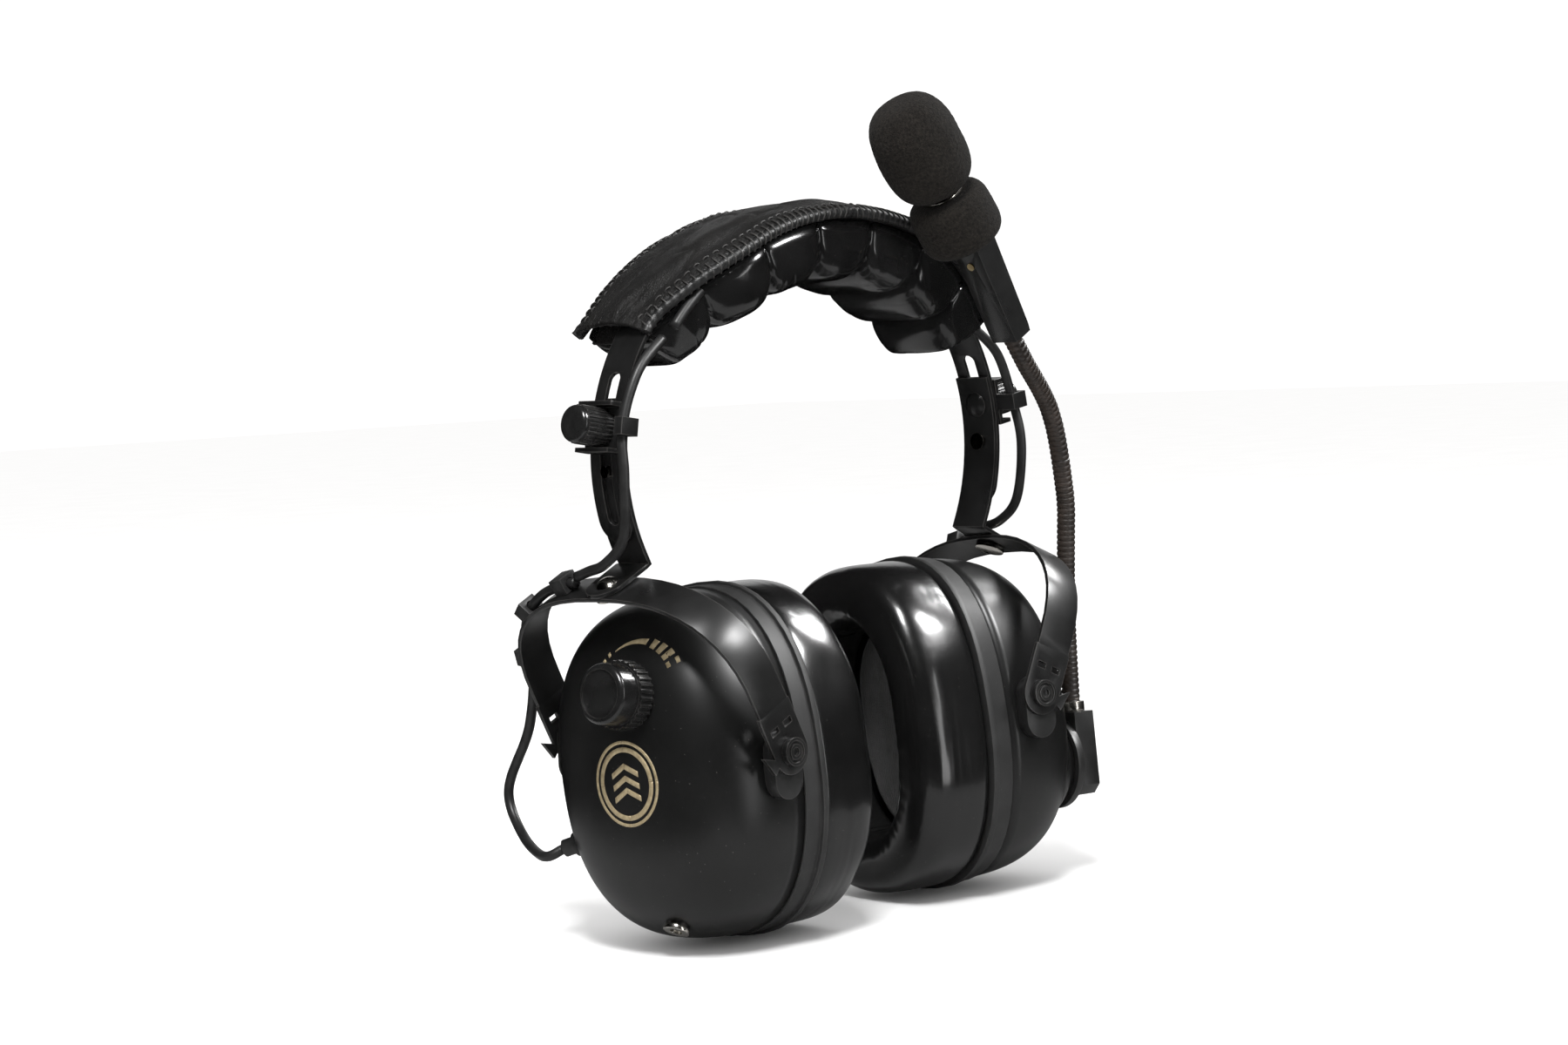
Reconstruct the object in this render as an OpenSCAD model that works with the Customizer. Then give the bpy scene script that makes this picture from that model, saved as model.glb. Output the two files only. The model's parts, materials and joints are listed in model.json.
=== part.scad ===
// Passive aviation headset: two ear cups on swivelling yokes, a slotted spring headband with a
// quilted pad, and a microphone on a gooseneck boom. Millimetres. +Z is up, +X is the wearer's
// left and -Y is the way the wearer faces. The origin is on the floor, midway between the cups.
// Both sides share their modules, which draw the left side; handed() mirrors them for the right.

/* [Ear cups] */
// Height of the oval cup
cup_h = 102; // [98:1:104]
// Width of the oval cup, front to back
cup_w = 78; // [76:1:80]
// Depth of the dome, from the lip plane to its outermost point
dome_d = 43; // [40:1:45]
// Boxiness of the dome's profile, where 2 is an ellipse
dome_power = 3.3; // [2.6:0.1:3.8]
// Wall thickness of the dome
dome_wall = 2.4; // [2:0.2:3]
// Depth of the matte flange band behind the dome
flange_d = 7; // [6:0.5:8]
// Depth of the ear seal, from the lip plane to its face
seal_d = 25; // [20:1:27]
// Width of the seal's ring, from its outer wall to the ear opening
seal_ring = 19; // [16:1:20]
// Cant of the right cup's oval, with its top towards the back
right_cant = 7; // [0:1:10]
// Cant of the left cup's oval
left_cant = 5; // [0:1:10]

/* [Yokes] */
// Distance from the headset's middle plane to the cups' pivots, front and back
yoke_half = 45.3; // [45:0.1:47]
// Drop from the swivel rivet to the pivots, along the yoke
yoke_drop = 51.3; // [49:0.1:54]
// Height of the yoke's rounded shoulders
yoke_shoulder = 34; // [28:1:38]
// Lean of the yoke, with its foot inwards
yoke_lean = 26; // [22:1:30]
// Width of the yoke's steel strap
yoke_w = 12; // [10:0.5:13]
// How far the right yoke rests turned on its rivet, front inwards
right_swing = 1; // [0:1:5]
// How far the left yoke rests turned on its rivet, front inwards
left_swing = 12; // [8:1:14]

/* [Headband] */
// Width of the spring-steel band
band_w = 12.7; // [12:0.1:14]
// Thickness of the band, the hangers and the yokes
band_t = 1.2; // [1:0.1:1.4]
// Height of the band at its crown
crown_z = 207; // [203:1:212]
// Radius of the crown's arc
crown_r = 89; // [86:1:92]
// Radius of the side arcs
side_r = 60; // [58:1:62]
// Width of the head pad, front to back
pad_w = 42; // [38:1:44]
// Narrowing of each half of the pad towards its ends
pad_taper = 8; // [5:1:8]
// Depth of the pad's lobes below the band
lobe_d = 16; // [13:1:18]
// Number of lobes in the pad
lobes = 7; // [5:1:9]

/* [Adjustment] */
// Width of the slot in each band arm
slot_w = 4.5; // [4.3:0.1:5]
// Radius of the clamp knobs
clamp_r = 5.6; // [5.2:0.1:6.4]
// Length of the clamp knobs
clamp_len = 11.5; // [11:0.5:14]

/* [Microphone boom] */
// Radius of the gooseneck
neck_r = 2.8; // [2.6:0.1:3.2]
// Radius of the foam muffs
muff_r = 13; // [12:0.1:14]
// Length of the upper muff
muff_len = 31.4; // [28:0.2:34]

/* [Audio fittings] */
// Radius of the 3.5 mm socket's bore
jack_bore_r = 1.78; // [1.76:0.01:1.85]
// Radius of the volume knob's skirt
volume_r = 9.8; // [9:0.1:10.5]
// Radius of the cables
cable_r = 1.5; // [1.2:0.1:1.7]

/* [Hidden] */
RIGHT = 0;
LEFT = 1;
$fn = 64;
eps = 0.05;
fit = 0.06;        // radial gap of a turning fit
slip = 0.1;        // gap between faces that slide past each other

// Colours
ENAMEL = [0.06, 0.06, 0.065];
GLOSS = [0.03, 0.03, 0.033];
MATTE = [0.09, 0.09, 0.09];
VINYL = [0.045, 0.045, 0.05];
LEATHER = [0.08, 0.08, 0.082];
FOAM = [0.14, 0.135, 0.13];
NICKEL = [0.75, 0.72, 0.66];
BRASS = [0.72, 0.58, 0.33];
CABLE = [0.05, 0.05, 0.05];

// Headband arcs: a crown arc about (0, crown_cz) and, on each side, an arc about (side_x, side_z)
crown_cz = crown_z - crown_r;
join_angle = 43.6;                                     // where the arcs meet, from vertical
side_x = (crown_r - side_r) * sin(join_angle);
side_z = crown_cz + (crown_r - side_r) * cos(join_angle);
flex_angle = 9;                                        // where each arm hinges off the crown
pad_end = 54;                                          // the pad's end, from vertical
slot_top = 25;                                         // elevations on the side arc
slot_low = -16.5;
arm_end = -21.7;
bolt_at = 9.6;
pin_at = -2;
hanger_top = 18.1;
hanger_low = -29;
hanger_r = side_r - band_t - slip;
bolt_r = 1.9;
pin_r = 1.6;
bracket_h = 14.4;
bracket_w = 13.6;
bracket_rise = 5;
plate_t = 1.4;                                         // sheet of the clamp bracket

// Foot, rivet and yoke
foot_len = 18.5;
foot_reach = 12;
rivet_r = 2;
foot_at = [side_x + hanger_r * cos(hanger_low), 0, side_z + hanger_r * sin(hanger_low)];
rivet_at = foot_at + foot_reach * [cos(yoke_lean), 0, -sin(yoke_lean)]
    - (band_t + slip) * [sin(yoke_lean), 0, cos(yoke_lean)];
swing = [-right_swing, -left_swing];
level = [for (i = [RIGHT, LEFT]) -atan(tan(yoke_lean) * cos(swing[i]))];
cant = [right_cant, left_cant];
screw_r = 1.9;

// Cup: the oval frame's origin is at the lip plane's centre, with x outwards
pivot_in = 16.7;
pivot_up = 6.4;
cup_forward = 2;
oval_power = 2.4;
half_w = cup_w / 2;
half_h = cup_h / 2;
seal_back = 2;
ring_n = 48;

// Boom, in the left cup's oval frame
boom_y = -9;
boom_z = -18;
boom_seat = dome_d + 0.2;
boom_disc_t = 2.6;
boom_shaft_r = 4;
block_x = boom_seat + boom_disc_t + slip;
block_t = 7.5;

// ---------- helpers ----------
function unit(v) = v / norm(v);
function power(x, p) = sign(x) * pow(abs(x), p);
function turn_x(p, a) = [p.x, p.y * cos(a) - p.z * sin(a), p.y * sin(a) + p.z * cos(a)];
function turn_y(p, a) = [p.x * cos(a) + p.z * sin(a), p.y, -p.x * sin(a) + p.z * cos(a)];
function turn_z(p, a) = [p.x * cos(a) - p.y * sin(a), p.x * sin(a) + p.y * cos(a), p.z];

// A point of the yoke, pivot or oval frame, in the row's frame
function from_yoke(p, i) = rivet_at + turn_y(turn_z(p, swing[i]), yoke_lean);
function from_pivot(p, i) = from_yoke(turn_y(p, level[i]) - [0, 0, yoke_drop], i);
function from_oval(p, i) = from_pivot(turn_x(p, -cant[i]) + [-pivot_in, -cup_forward, -pivot_up], i);

// Point on the headband's middle line at angle a from vertical, lift mm outside it, at depth y
function band_point(a, y = 0, lift = 0) =
    abs(a) <= join_angle
    ? [(crown_r + lift) * sin(a), y, crown_cz + (crown_r + lift) * cos(a)]
    : [sign(a) * (side_x + (side_r + lift) * sin(abs(a))), y, side_z + (side_r + lift) * cos(a)];

// Oval outline with its half axes, as 2D points
function oval(b, a, n = ring_n) = [for (k = [0:n - 1]) let (t = 360 * k / n)
    [b * power(cos(t), 2 / oval_power), a * power(sin(t), 2 / oval_power)]];
function oval_ring(x, inset) = [for (q = oval(half_w - inset, half_h - inset)) [x, q.x, q.y]];

// Smooth curve through control points, with m steps between each two
function curve(c, m = 6) = [for (k = [0:len(c) - 2], j = [0:m - 1])
    let (a = c[max(k - 1, 0)], b = c[k], d = c[k + 1], e = c[min(k + 2, len(c) - 1)], t = j / m)
    0.5 * (2 * b + (d - a) * t + (2 * a - 5 * b + 4 * d - e) * t * t
        + (3 * b - a - 3 * d + e) * t * t * t), c[len(c) - 1]];

// Outline of a strap of thickness t whose middle line is a path of 2D points
function strap(path, t) = let (last = len(path) - 1,
    across = [for (k = [0:last]) let (d = unit(path[min(k + 1, last)] - path[max(k - 1, 0)]))
        [-d.y, d.x] * t / 2])
    concat([for (k = [0:last]) path[k] + across[k]], [for (k = [last:-1:0]) path[k] - across[k]]);

// Solid skin over a list of rings of equal length; wrap joins the last ring to the first
module loft(rings, wrap = false) {
    n = len(rings[0]);
    m = len(rings);
    ends = wrap ? [] : [[for (k = [n - 1:-1:0]) k], [for (k = [0:n - 1]) (m - 1) * n + k]];
    sides = [for (j = [0:wrap ? m - 1 : m - 2], k = [0:n - 1])
        let (a = j * n + k, b = j * n + (k + 1) % n, c = ((j + 1) % m) * n)
        each [[a, b, c + k], [b, c + (k + 1) % n, c + k]]];
    polyhedron([for (r = rings) each r], concat(ends, sides));
}

// Round cord of radius r along a path of 3D points
module cord(path, r, side = [1, 0, 0], n = 10) {
    last = len(path) - 1;
    loft([for (k = [0:last])
        let (d = unit(path[min(k + 1, last)] - path[max(k - 1, 0)]),
            u = unit(cross(side, d)), v = cross(d, u))
        [for (j = [0:n - 1]) path[k] + r * (u * cos(-360 * j / n) + v * sin(-360 * j / n))]]);
}

// Curved strip about the Y axis, between two elevations
module arc_strip(r, t, w, low, high) {
    rotate([90, 0, 0]) rotate([0, 0, low]) rotate_extrude(angle = high - low, $fn = 180)
        translate([r - t / 2, -w / 2]) square([t, w]);
}
module at_side() translate([side_x, 0, side_z]) children();

// Places a child with its z axis pointing outwards along the side arc's radius
module on_arc(elevation, r = side_r) at_side() rotate([0, 90 - elevation, 0]) translate([0, 0, r]) children();
module handed(i) mirror([1 - i, 0, 0]) children();
module at_foot() translate(foot_at) rotate([0, yoke_lean, 0]) children();
module at_yoke(i) handed(i) translate(rivet_at) rotate([0, yoke_lean, 0]) rotate([0, 0, swing[i]]) children();
module at_pivots(i) at_yoke(i) translate([0, 0, -yoke_drop]) rotate([0, level[i], 0]) children();
module at_oval(i) at_pivots(i) translate([-pivot_in, -cup_forward, -pivot_up])
    rotate([-cant[i], 0, 0]) children();
module outward() rotate([0, 90, 0]) children();

// Knob turned about z, standing from z = 0: a fluted skirt under a plain rounded cap
module knob(r, skirt_h, cap_r, cap_h, flutes, bore_r, bore_h, dish = 0, flute_r = 0.75) {
    difference() {
        union() {
            cylinder(r = r, h = skirt_h);
            rotate_extrude() polygon(concat([[0, skirt_h - eps], [cap_r, skirt_h - eps]],
                [for (a = [0:15:90]) [cap_r - 1.6 + 1.6 * cos(a), skirt_h + cap_h - 1.6 + 1.6 * sin(a)]],
                [[0, skirt_h + cap_h]]));
        }
        for (k = [0:flutes - 1]) rotate(360 * k / flutes) translate([r + 0.25, 0, -eps])
            cylinder(r = flute_r, h = skirt_h + 2 * eps, $fn = 16);
        translate([0, 0, -eps]) cylinder(r = bore_r, h = bore_h + eps);
        if (dish > 0) translate([0, 0, skirt_h + cap_h - dish]) cylinder(r = cap_r - 1.8, h = dish + eps);
    }
}

// ---------- headband ----------
module band_crown() {
    color(ENAMEL) translate([0, 0, crown_cz])
        arc_strip(crown_r, band_t, band_w, 90 - flex_angle + 0.2, 90 + flex_angle - 0.2);
}

// Half the pad's width at angle a: full over the crown, then tapered
function pad_half(a) = let (t = min(1, max(0, (abs(a) - 22) / 28)))
    pad_w / 2 - pad_taper * t * t * (3 - 2 * t);

// Pad cover: a stitched sheet that arches over the band from end to end
module head_pad_cover() {
    low = band_t / 2 + 0.2;
    color(LEATHER) loft([for (a = [-pad_end:3:pad_end])
        [for (q = [[-1, low], [1, low], [1, 2.2], [0.9, 3.4], [0.6, 4.2], [0, 4.6],
            [-0.6, 4.2], [-0.9, 3.4], [-1, 2.2]]) band_point(a, -q.x * pad_half(a), q.y)]]);
}

// Pad cushion: one closed bag quilted into lobes
module head_pad_cushion() {
    top = -4.6;
    color(VINYL) loft([for (a = [-pad_end + 2:2.2:pad_end - 1.8])
        let (swell = sqrt(abs(sin(180 * lobes * (a + pad_end) / (2 * pad_end)))),
            d = -top + (lobe_d + top) * (0.55 + 0.45 * swell), w = pad_half(a) - 1)
        [for (q = [[0.95, top], [-0.95, top], [-1, -0.7 * d - 1.5], [-0.8, -0.93 * d], [-0.4, -d],
            [0.4, -d], [0.8, -0.93 * d], [1, -0.7 * d - 1.5]]) band_point(a, -q.x * w, q.y)]]);
}
module crown_cable() {
    color(CABLE) cord([for (a = [-pad_end + 5:4:pad_end - 5]) band_point(a, -12, -2.8)], cable_r, [0, 1, 0]);
}

// Band arm: crown arc, side arc, adjusting slot and rounded end
module band_arm(i) {
    end_at = arm_end + (band_w / 2) / side_r * 180 / PI;
    slot_turn = (slot_w / 2) / side_r * 180 / PI;
    color(ENAMEL) handed(i) union() {
        rotate([90, 0, 0]) translate([0, 0, -band_w / 2 - eps]) linear_extrude(band_w + 2 * eps)
            polygon(strap([for (a = [flex_angle + 0.2, each [12:3:42], join_angle + 1.5])
                let (q = band_point(a)) [q.x, q.z]], band_t + 2 * eps));
        difference() {
            at_side() arc_strip(side_r, band_t, band_w, arm_end, 90 - join_angle);
            at_side() arc_strip(side_r, 4 * band_t, slot_w - eps, slot_low + slot_turn, slot_top - slot_turn);
            for (e = [slot_low + slot_turn, slot_top - slot_turn])
                on_arc(e, side_r - 4) cylinder(r = slot_w / 2, h = 8);
            on_arc(end_at, side_r - 4) difference() {
                translate([0, -band_w, -1]) cube([band_w, 2 * band_w, 10]);
                cylinder(r = band_w / 2 - eps / 2, h = 8);
            }
        }
    }
}

// ---------- hanger and clamp ----------
// Hanger: a strip inside the arm, turned out at the bottom into the foot that carries the yoke
module hanger_strip(i) {
    foot_way = [cos(yoke_lean), -sin(yoke_lean)];
    foot_from = [foot_at.x, foot_at.z];
    arc_points = [for (a = [hanger_top, each [15:-3:-27], hanger_low])
        [side_x + hanger_r * cos(a), side_z + hanger_r * sin(a)]];
    color(ENAMEL) handed(i) difference() {
        rotate([90, 0, 0]) translate([0, 0, -band_w / 2]) linear_extrude(band_w)
            polygon(strap(concat(arc_points, [for (d = [1.5, 6, foot_len]) foot_from + d * foot_way]), band_t));
        at_foot() translate([foot_len - band_w / 2, 0, -4]) difference() {
            translate([0, -band_w, -1]) cube([band_w, 2 * band_w, 10]);
            cylinder(r = band_w / 2 - eps / 2, h = 8);
        }
        at_foot() translate([foot_reach, 0, -5]) cylinder(r = rivet_r + slip, h = 10);
        on_arc(bolt_at, hanger_r - 4) cylinder(r = bolt_r + slip, h = 8);
        on_arc(pin_at, hanger_r - 4) cylinder(r = pin_r + slip, h = 8);
    }
}

// Bracket: a small U outside the arm, with a squared hook that holds the cable
module clamp_bracket(i) {
    out = band_t / 2 + slip;
    cable_y = -bracket_w / 2 - 3.4;
    color(ENAMEL) handed(i) difference() {
        union() {
            on_arc(bolt_at) translate([-bracket_h / 2, -bracket_w / 2, out])
                cube([bracket_h, bracket_w, plate_t]);
            for (x = [-bracket_h / 2, bracket_h / 2 - 1.3])
                on_arc(bolt_at) translate([x, -bracket_w / 2, out]) cube([1.3, bracket_w, bracket_rise]);
            on_arc(bolt_at) translate([-2.5, cable_y - 3.2, out]) cube([5, 7, plate_t]);
            on_arc(bolt_at) translate([-2.5, cable_y - 3.2, out]) cube([5, plate_t, 6.3]);
            on_arc(bolt_at) translate([-2.5, cable_y - 3.2, out + 5.1]) cube([5, 3.2, 1.2]);
        }
        on_arc(bolt_at) cylinder(r = bolt_r + slip, h = 10);
    }
}

// Bolt: a large domed head inside the hanger and a threaded shank out to the knob
module clamp_bolt(i) {
    head = band_t * 1.5 + 3.5 * slip;
    color(ENAMEL) handed(i) on_arc(bolt_at) union() {
        translate([0, 0, -head - eps]) cylinder(r = bolt_r, h = head + 10.6);
        intersection() {
            translate([0, 0, -head - 2.2]) cylinder(r = 3.9, h = 2.2);
            translate([0, 0, -head + 2.4]) sphere(r = 4.6);
        }
    }
}

// Stop pin: keeps the hanger in line with the slot
module stop_pin(i) {
    head = band_t * 1.5 + 3.5 * slip;
    color(NICKEL) handed(i) on_arc(pin_at) union() {
        translate([0, 0, -head - eps]) cylinder(r = pin_r, h = head + 1.4);
        translate([0, 0, -head - 1]) cylinder(r = 2.6, h = 1);
    }
}
module clamp_knob(i) {
    color(GLOSS) handed(i) on_arc(bolt_at) translate([0, 0, band_t / 2 + 2 * slip + plate_t])
        knob(clamp_r, clamp_len - 2.2, clamp_r - 0.3, 2.2, 30, bolt_r + fit, 9, flute_r = 0.5);
}

// Rivet: domed head over the foot, shank through foot and yoke, wide disc under the yoke
module swivel_rivet(i) {
    color(NICKEL) handed(i) at_foot() translate([foot_reach, 0, 0]) union() {
        translate([0, 0, -1.5 * band_t - 3.5 * slip - eps])
            cylinder(r = rivet_r, h = 2 * band_t + 3.5 * slip + 2 * eps);
        translate([0, 0, band_t / 2]) intersection() {
            cylinder(r = 3.4, h = 1.8);
            translate([0, 0, -2.6]) sphere(r = 4.3);
        }
        translate([0, 0, -1.5 * band_t - 3.5 * slip - 1.2]) cylinder(r = 4.6, h = 1.2);
    }
}

// ---------- yokes ----------
yoke_top = [for (t = [0:7.5:90]) [yoke_half * power(sin(t), 0.8), yoke_shoulder * (power(cos(t), 0.8) - 1)]];
yoke_path = concat([[yoke_half, -yoke_drop + 9]], [for (k = [len(yoke_top) - 1:-1:0]) yoke_top[k]],
    [for (k = [1:len(yoke_top) - 1]) [-yoke_top[k].x, yoke_top[k].y]], [[-yoke_half, -yoke_drop + 9]]);

// Lug: the flat end of the strap, with two windows and a hooked tab, in the plane of its face
module yoke_lug() {
    difference() {
        union() {
            translate([-yoke_w / 2 - 0.5, 0]) square([yoke_w + 1, 14]);
            circle(r = yoke_w / 2 + 0.5);
            polygon([[yoke_w / 2, 1], [yoke_w / 2 + 4.2, 4], [yoke_w / 2 + 2.4, -2.5], [yoke_w / 2 - 0.4, -1]]);
        }
        circle(r = screw_r + fit);
        for (x = [-4.4, 1.2]) translate([x, 7.2]) square([3.2, 4.2]);
    }
}
module yoke_strap(i) {
    color(ENAMEL) at_yoke(i) difference() {
        union() {
            rotate([90, 0, 90]) translate([0, 0, -yoke_w / 2]) linear_extrude(yoke_w)
                polygon(strap(yoke_path, band_t));
            for (s = [-1, 1]) translate([0, s * yoke_half + band_t / 2, -yoke_drop]) rotate([90, 0, 0])
                linear_extrude(band_t) yoke_lug();
        }
        translate([0, 0, -5]) cylinder(r = rivet_r + fit, h = 10);
    }
}

clip_at = [17, 36, 44.4];                              // the clips' distances from the yoke's middle

// Clips: small saddles that hold the cable to the yoke's rear half
module cable_clips(i) {
    grip = cable_r + 0.25;
    color(ENAMEL) for (y = clip_at) at_yoke(i) translate([0, y, yoke_height(y)]) rotate([-yoke_fall(y), 0, 0])
        translate([0, 0, band_t / 2 + slip]) difference() {
            translate([-grip - 1.3, -2.6, 0]) cube([2 * grip + 2.6, 5.2, 2 * grip + 1.3]);
            translate([0, 3, grip + 0.1]) rotate([90, 0, 0]) cylinder(r = grip, h = 6, $fn = 24);
        }
}
// Height of the yoke's top at distance y from its middle; its legs are met below the shoulder
function yoke_height(y) = y >= yoke_half ? -yoke_shoulder
    : yoke_shoulder * (pow(1 - pow(y / yoke_half, 2.5), 0.4) - 1);

// Slope of the yoke's top there, in degrees
function yoke_fall(y) = atan(yoke_shoulder / yoke_half * pow(y / yoke_half, 1.5)
    * pow(1 - pow(y / yoke_half, 2.5), -0.6));

// ---------- ear cups ----------
// Rings of the dome's outer or inner skin, from the flange to the crown
function dome_rings(inset, start) = let (d = dome_d - inset, g0 = asin(pow(start / d, dome_power / 2)))
    [for (k = [0:13]) let (g = g0 + (89 - g0) * pow(k / 13, 0.75), f = power(cos(g), 2 / dome_power))
        [for (q = oval((half_w - 1 - inset) * f, (half_h - 1 - inset) * f))
            [d * power(sin(g), 2 / dome_power), q.x, q.y]]];
function reversed(v) = [for (k = [len(v) - 1:-1:0]) v[k]];

module cup_shell(i) {
    color(GLOSS) difference() {
        at_oval(i) union() {
            loft(concat(reversed(dome_rings(0, flange_d + slip)), dome_rings(dome_wall, flange_d + slip)));
            if (i == LEFT) translate([dome_d - 9, boom_y, boom_z]) outward()
                cylinder(r = 13.5, h = boom_seat - dome_d + 9);
        }
        if (i == LEFT) at_boom() outward() cylinder(r = boom_shaft_r + fit, h = 60);
        if (i == RIGHT) at_volume() translate([0, 0, -8]) cylinder(r = 3.7, h = 20);
        if (i == RIGHT) at_oval(RIGHT) at_jack() translate([0, 0, -12]) cylinder(r = 3.1, h = 20);
        at_oval(i) at_grommet() translate([0, 0, -8]) cylinder(r = 2.6, h = 20);
    }
}

// Flange: matte band behind the dome with a thin lip at the seal
module cup_flange(i) {
    color(MATTE) at_oval(i) rotate([90, 0, 90]) difference() {
        union() {
            translate([0, 0, 1]) linear_extrude(flange_d - 1) polygon(oval(half_w - 0.4, half_h - 0.4));
            translate([0, 0, -1]) linear_extrude(2 + eps) polygon(oval(half_w + 0.8, half_h + 0.5));
        }
        translate([0, 0, -3]) linear_extrude(flange_d + 6) polygon(oval(half_w - 3.4, half_h - 3.4));
    }
}

// Seal: closed ring with a full, rounded face around the ear opening
module ear_seal(i) {
    deep = seal_d;
    wide = seal_ring;
    color(VINYL) at_oval(i) loft([for (q = [[-1.2, 2], [-deep * 0.7, 1.2], [-deep * 0.88, 2.6],
        [-deep * 0.98, 6], [-deep, wide * 0.55], [-deep * 0.97, wide * 0.8], [-deep * 0.85, wide * 0.95],
        [-deep * 0.6, wide + 0.4], [-1.2 - 4, wide]]) oval_ring(q[0], q[1])], true);
}
module ear_foam(i) {
    color(FOAM) at_oval(i) rotate([90, 0, -90]) translate([0, 0, 2]) linear_extrude(2.8)
        polygon(oval(half_w - seal_ring - 1, half_h - seal_ring - 1));
}
module speaker_plate(i) {
    color(MATTE) at_oval(i) rotate([90, 0, 90]) difference() {
        translate([0, 0, -0.8]) linear_extrude(2) polygon(oval(half_w - 3.6, half_h - 3.6));
        translate([0, 0, -3]) cylinder(r = 17, h = 8);
    }
}
module speaker(i) {
    color(NICKEL) at_oval(i) outward() union() {
        translate([0, 0, 1.3]) cylinder(r = 20, h = 3);
        translate([0, 0, 4.2]) cylinder(r = 15, h = 7);
        translate([0, 0, -0.6]) cylinder(r = 16.8, h = 2);
    }
}
module dome_foam(i) {
    color(FOAM) at_oval(i) rotate([90, 0, 90]) translate([0, 0, 13]) linear_extrude(8)
        polygon(oval(half_w - 9, half_h - 11));
}

// Thickness of the mount at the front (s < 0) or the back, from the lug to inside the cup's wall
function mount_t(s) = s > 0 ? 7.5 : 4.5;
lug_face = yoke_half - band_t / 2 - slip;
mount_r = 5.4;

// Pivot mounts: raised keyhole plates on the cup's front and back, inside the yoke's lugs
module pivot_mounts(i) {
    color(MATTE) for (s = [-1, 1]) at_pivots(i) difference() {
        union() {
            for (z = [0, -8]) translate([0, s * lug_face, z]) rotate([s * 90, 0, 0])
                cylinder(r = mount_r, h = mount_t(s));
            translate([-mount_r, s > 0 ? lug_face - mount_t(s) : -lug_face, -8])
                cube([2 * mount_r, mount_t(s), 8]);
        }
        rotate([90, 0, 0]) translate([0, 0, -60]) cylinder(r = screw_r + slip, h = 120);
        translate([-pivot_in, -cup_forward, -pivot_up]) rotate([-cant[i], 0, 0]) translate([-2, 0, 0])
            rotate([90, 0, 90]) linear_extrude(dome_d) polygon(oval(half_w - 1 + slip, half_h - 1 + slip));
    }
}
module pivot_screws(i) {
    color(ENAMEL) for (s = [-1, 1]) at_pivots(i) translate([0, s * (yoke_half + band_t / 2 + slip), 0])
        rotate([-s * 90, 0, 0]) union() {
            translate([0, 0, -mount_t(s) - band_t + 0.2]) cylinder(r = screw_r, h = mount_t(s) + band_t);
            difference() {
                cylinder(r = 4, h = 1.8);
                translate([0, 0, 1.2]) difference() {
                    cylinder(r = 3.1, h = 1);
                    cylinder(r = 2.2, h = 1);
                }
                translate([0, 0, 1]) cylinder(r = 1.2, h = 1);
            }
        }
}

// Grommet: where the cable enters the cup, low at the back
grommet_at = [29.17, 32.7, -18.5];
grommet_turn = [-101.8, 0, -26];
grommet_way = turn_z(turn_x([0, 0, 1], grommet_turn.x), grommet_turn.z);
module at_grommet() translate(grommet_at) rotate(grommet_turn) children();
module cable_grommet(i) {
    color(MATTE) at_oval(i) at_grommet() difference() {
        union() {
            translate([0, 0, -4]) cylinder(r = 2.5, h = 5);
            translate([0, 0, 0.2]) cylinder(r = 3.6, h = 1.8);
            translate([0, 0, 1.8]) cylinder(r = 2.6, h = 4);
        }
        translate([0, 0, -5]) cylinder(r = cable_r + 0.2, h = 13);
    }
}

// ---------- right cup: volume control and socket ----------
volume_y = 9;
volume_z = 22.3;
volume_base = 41.8;
volume_up = 8.8;
volume_side = 4.8;
module at_volume() at_oval(RIGHT) translate([volume_base, -volume_y, volume_z])
    rotate([0, 90 - volume_up, -volume_side]) children();
module volume_control() {
    color(NICKEL) at_volume() union() {
        translate([0, 0, -17]) cylinder(r = 8, h = 8);
        translate([0, 0, -9.1]) cylinder(r = 3.6, h = 9.1);
        translate([0, 0, -eps]) cylinder(r = 3, h = 8);
    }
}
module volume_knob() {
    color(GLOSS) at_volume() translate([0, 0, 2 * slip])
        knob(volume_r, 4.6, volume_r - 1.2, 7, 30, 3 + fit, 9.2, 0.5);
}

// Socket for a 3.5 mm plug, under the dome, facing down and outwards
module at_jack() translate([31, -4.5, -43.8]) rotate([0, 180 - 32, 0]) children();
module audio_jack() {
    color(NICKEL) at_oval(RIGHT) at_jack() difference() {
        union() {
            translate([0, 0, -11]) cylinder(r = 3, h = 11.6);
            translate([0, 0, 0.5]) cylinder(r = 3.75, h = 1.2);
        }
        translate([0, 0, -10]) cylinder(r = jack_bore_r, h = 12);
    }
}

// ---------- microphone boom ----------
module at_boom() at_oval(LEFT) translate([0, boom_y, boom_z]) children();
module boom_pivot() {
    color(MATTE) at_boom() outward() union() {
        translate([0, 0, 30]) cylinder(r = boom_shaft_r, h = boom_seat - 30 + 1);
        translate([0, 0, boom_seat + slip]) cylinder(r = 15, h = boom_disc_t - slip);
    }
}

// Block: a wedge that carries the gooseneck, thinned and chamfered towards its foot
module boom_block() {
    deep = 12;
    tall = 26;
    color(MATTE) at_boom() upright() difference() {
        translate([block_x, -deep, -11]) rotate([90, 0, 90]) linear_extrude(block_t)
            polygon([[0, 3], [3, 0], [deep, 0], [deep, tall], [0, tall]]);
        translate([block_x + 3, -deep - 1, -11]) rotate([0, 35, 0]) translate([0, 0, -20])
            cube([20, deep + 2, 20]);
        translate([block_x + neck_x, -deep / 2, 8]) cylinder(r = neck_r + 0.35, h = 30);
    }
}
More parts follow.
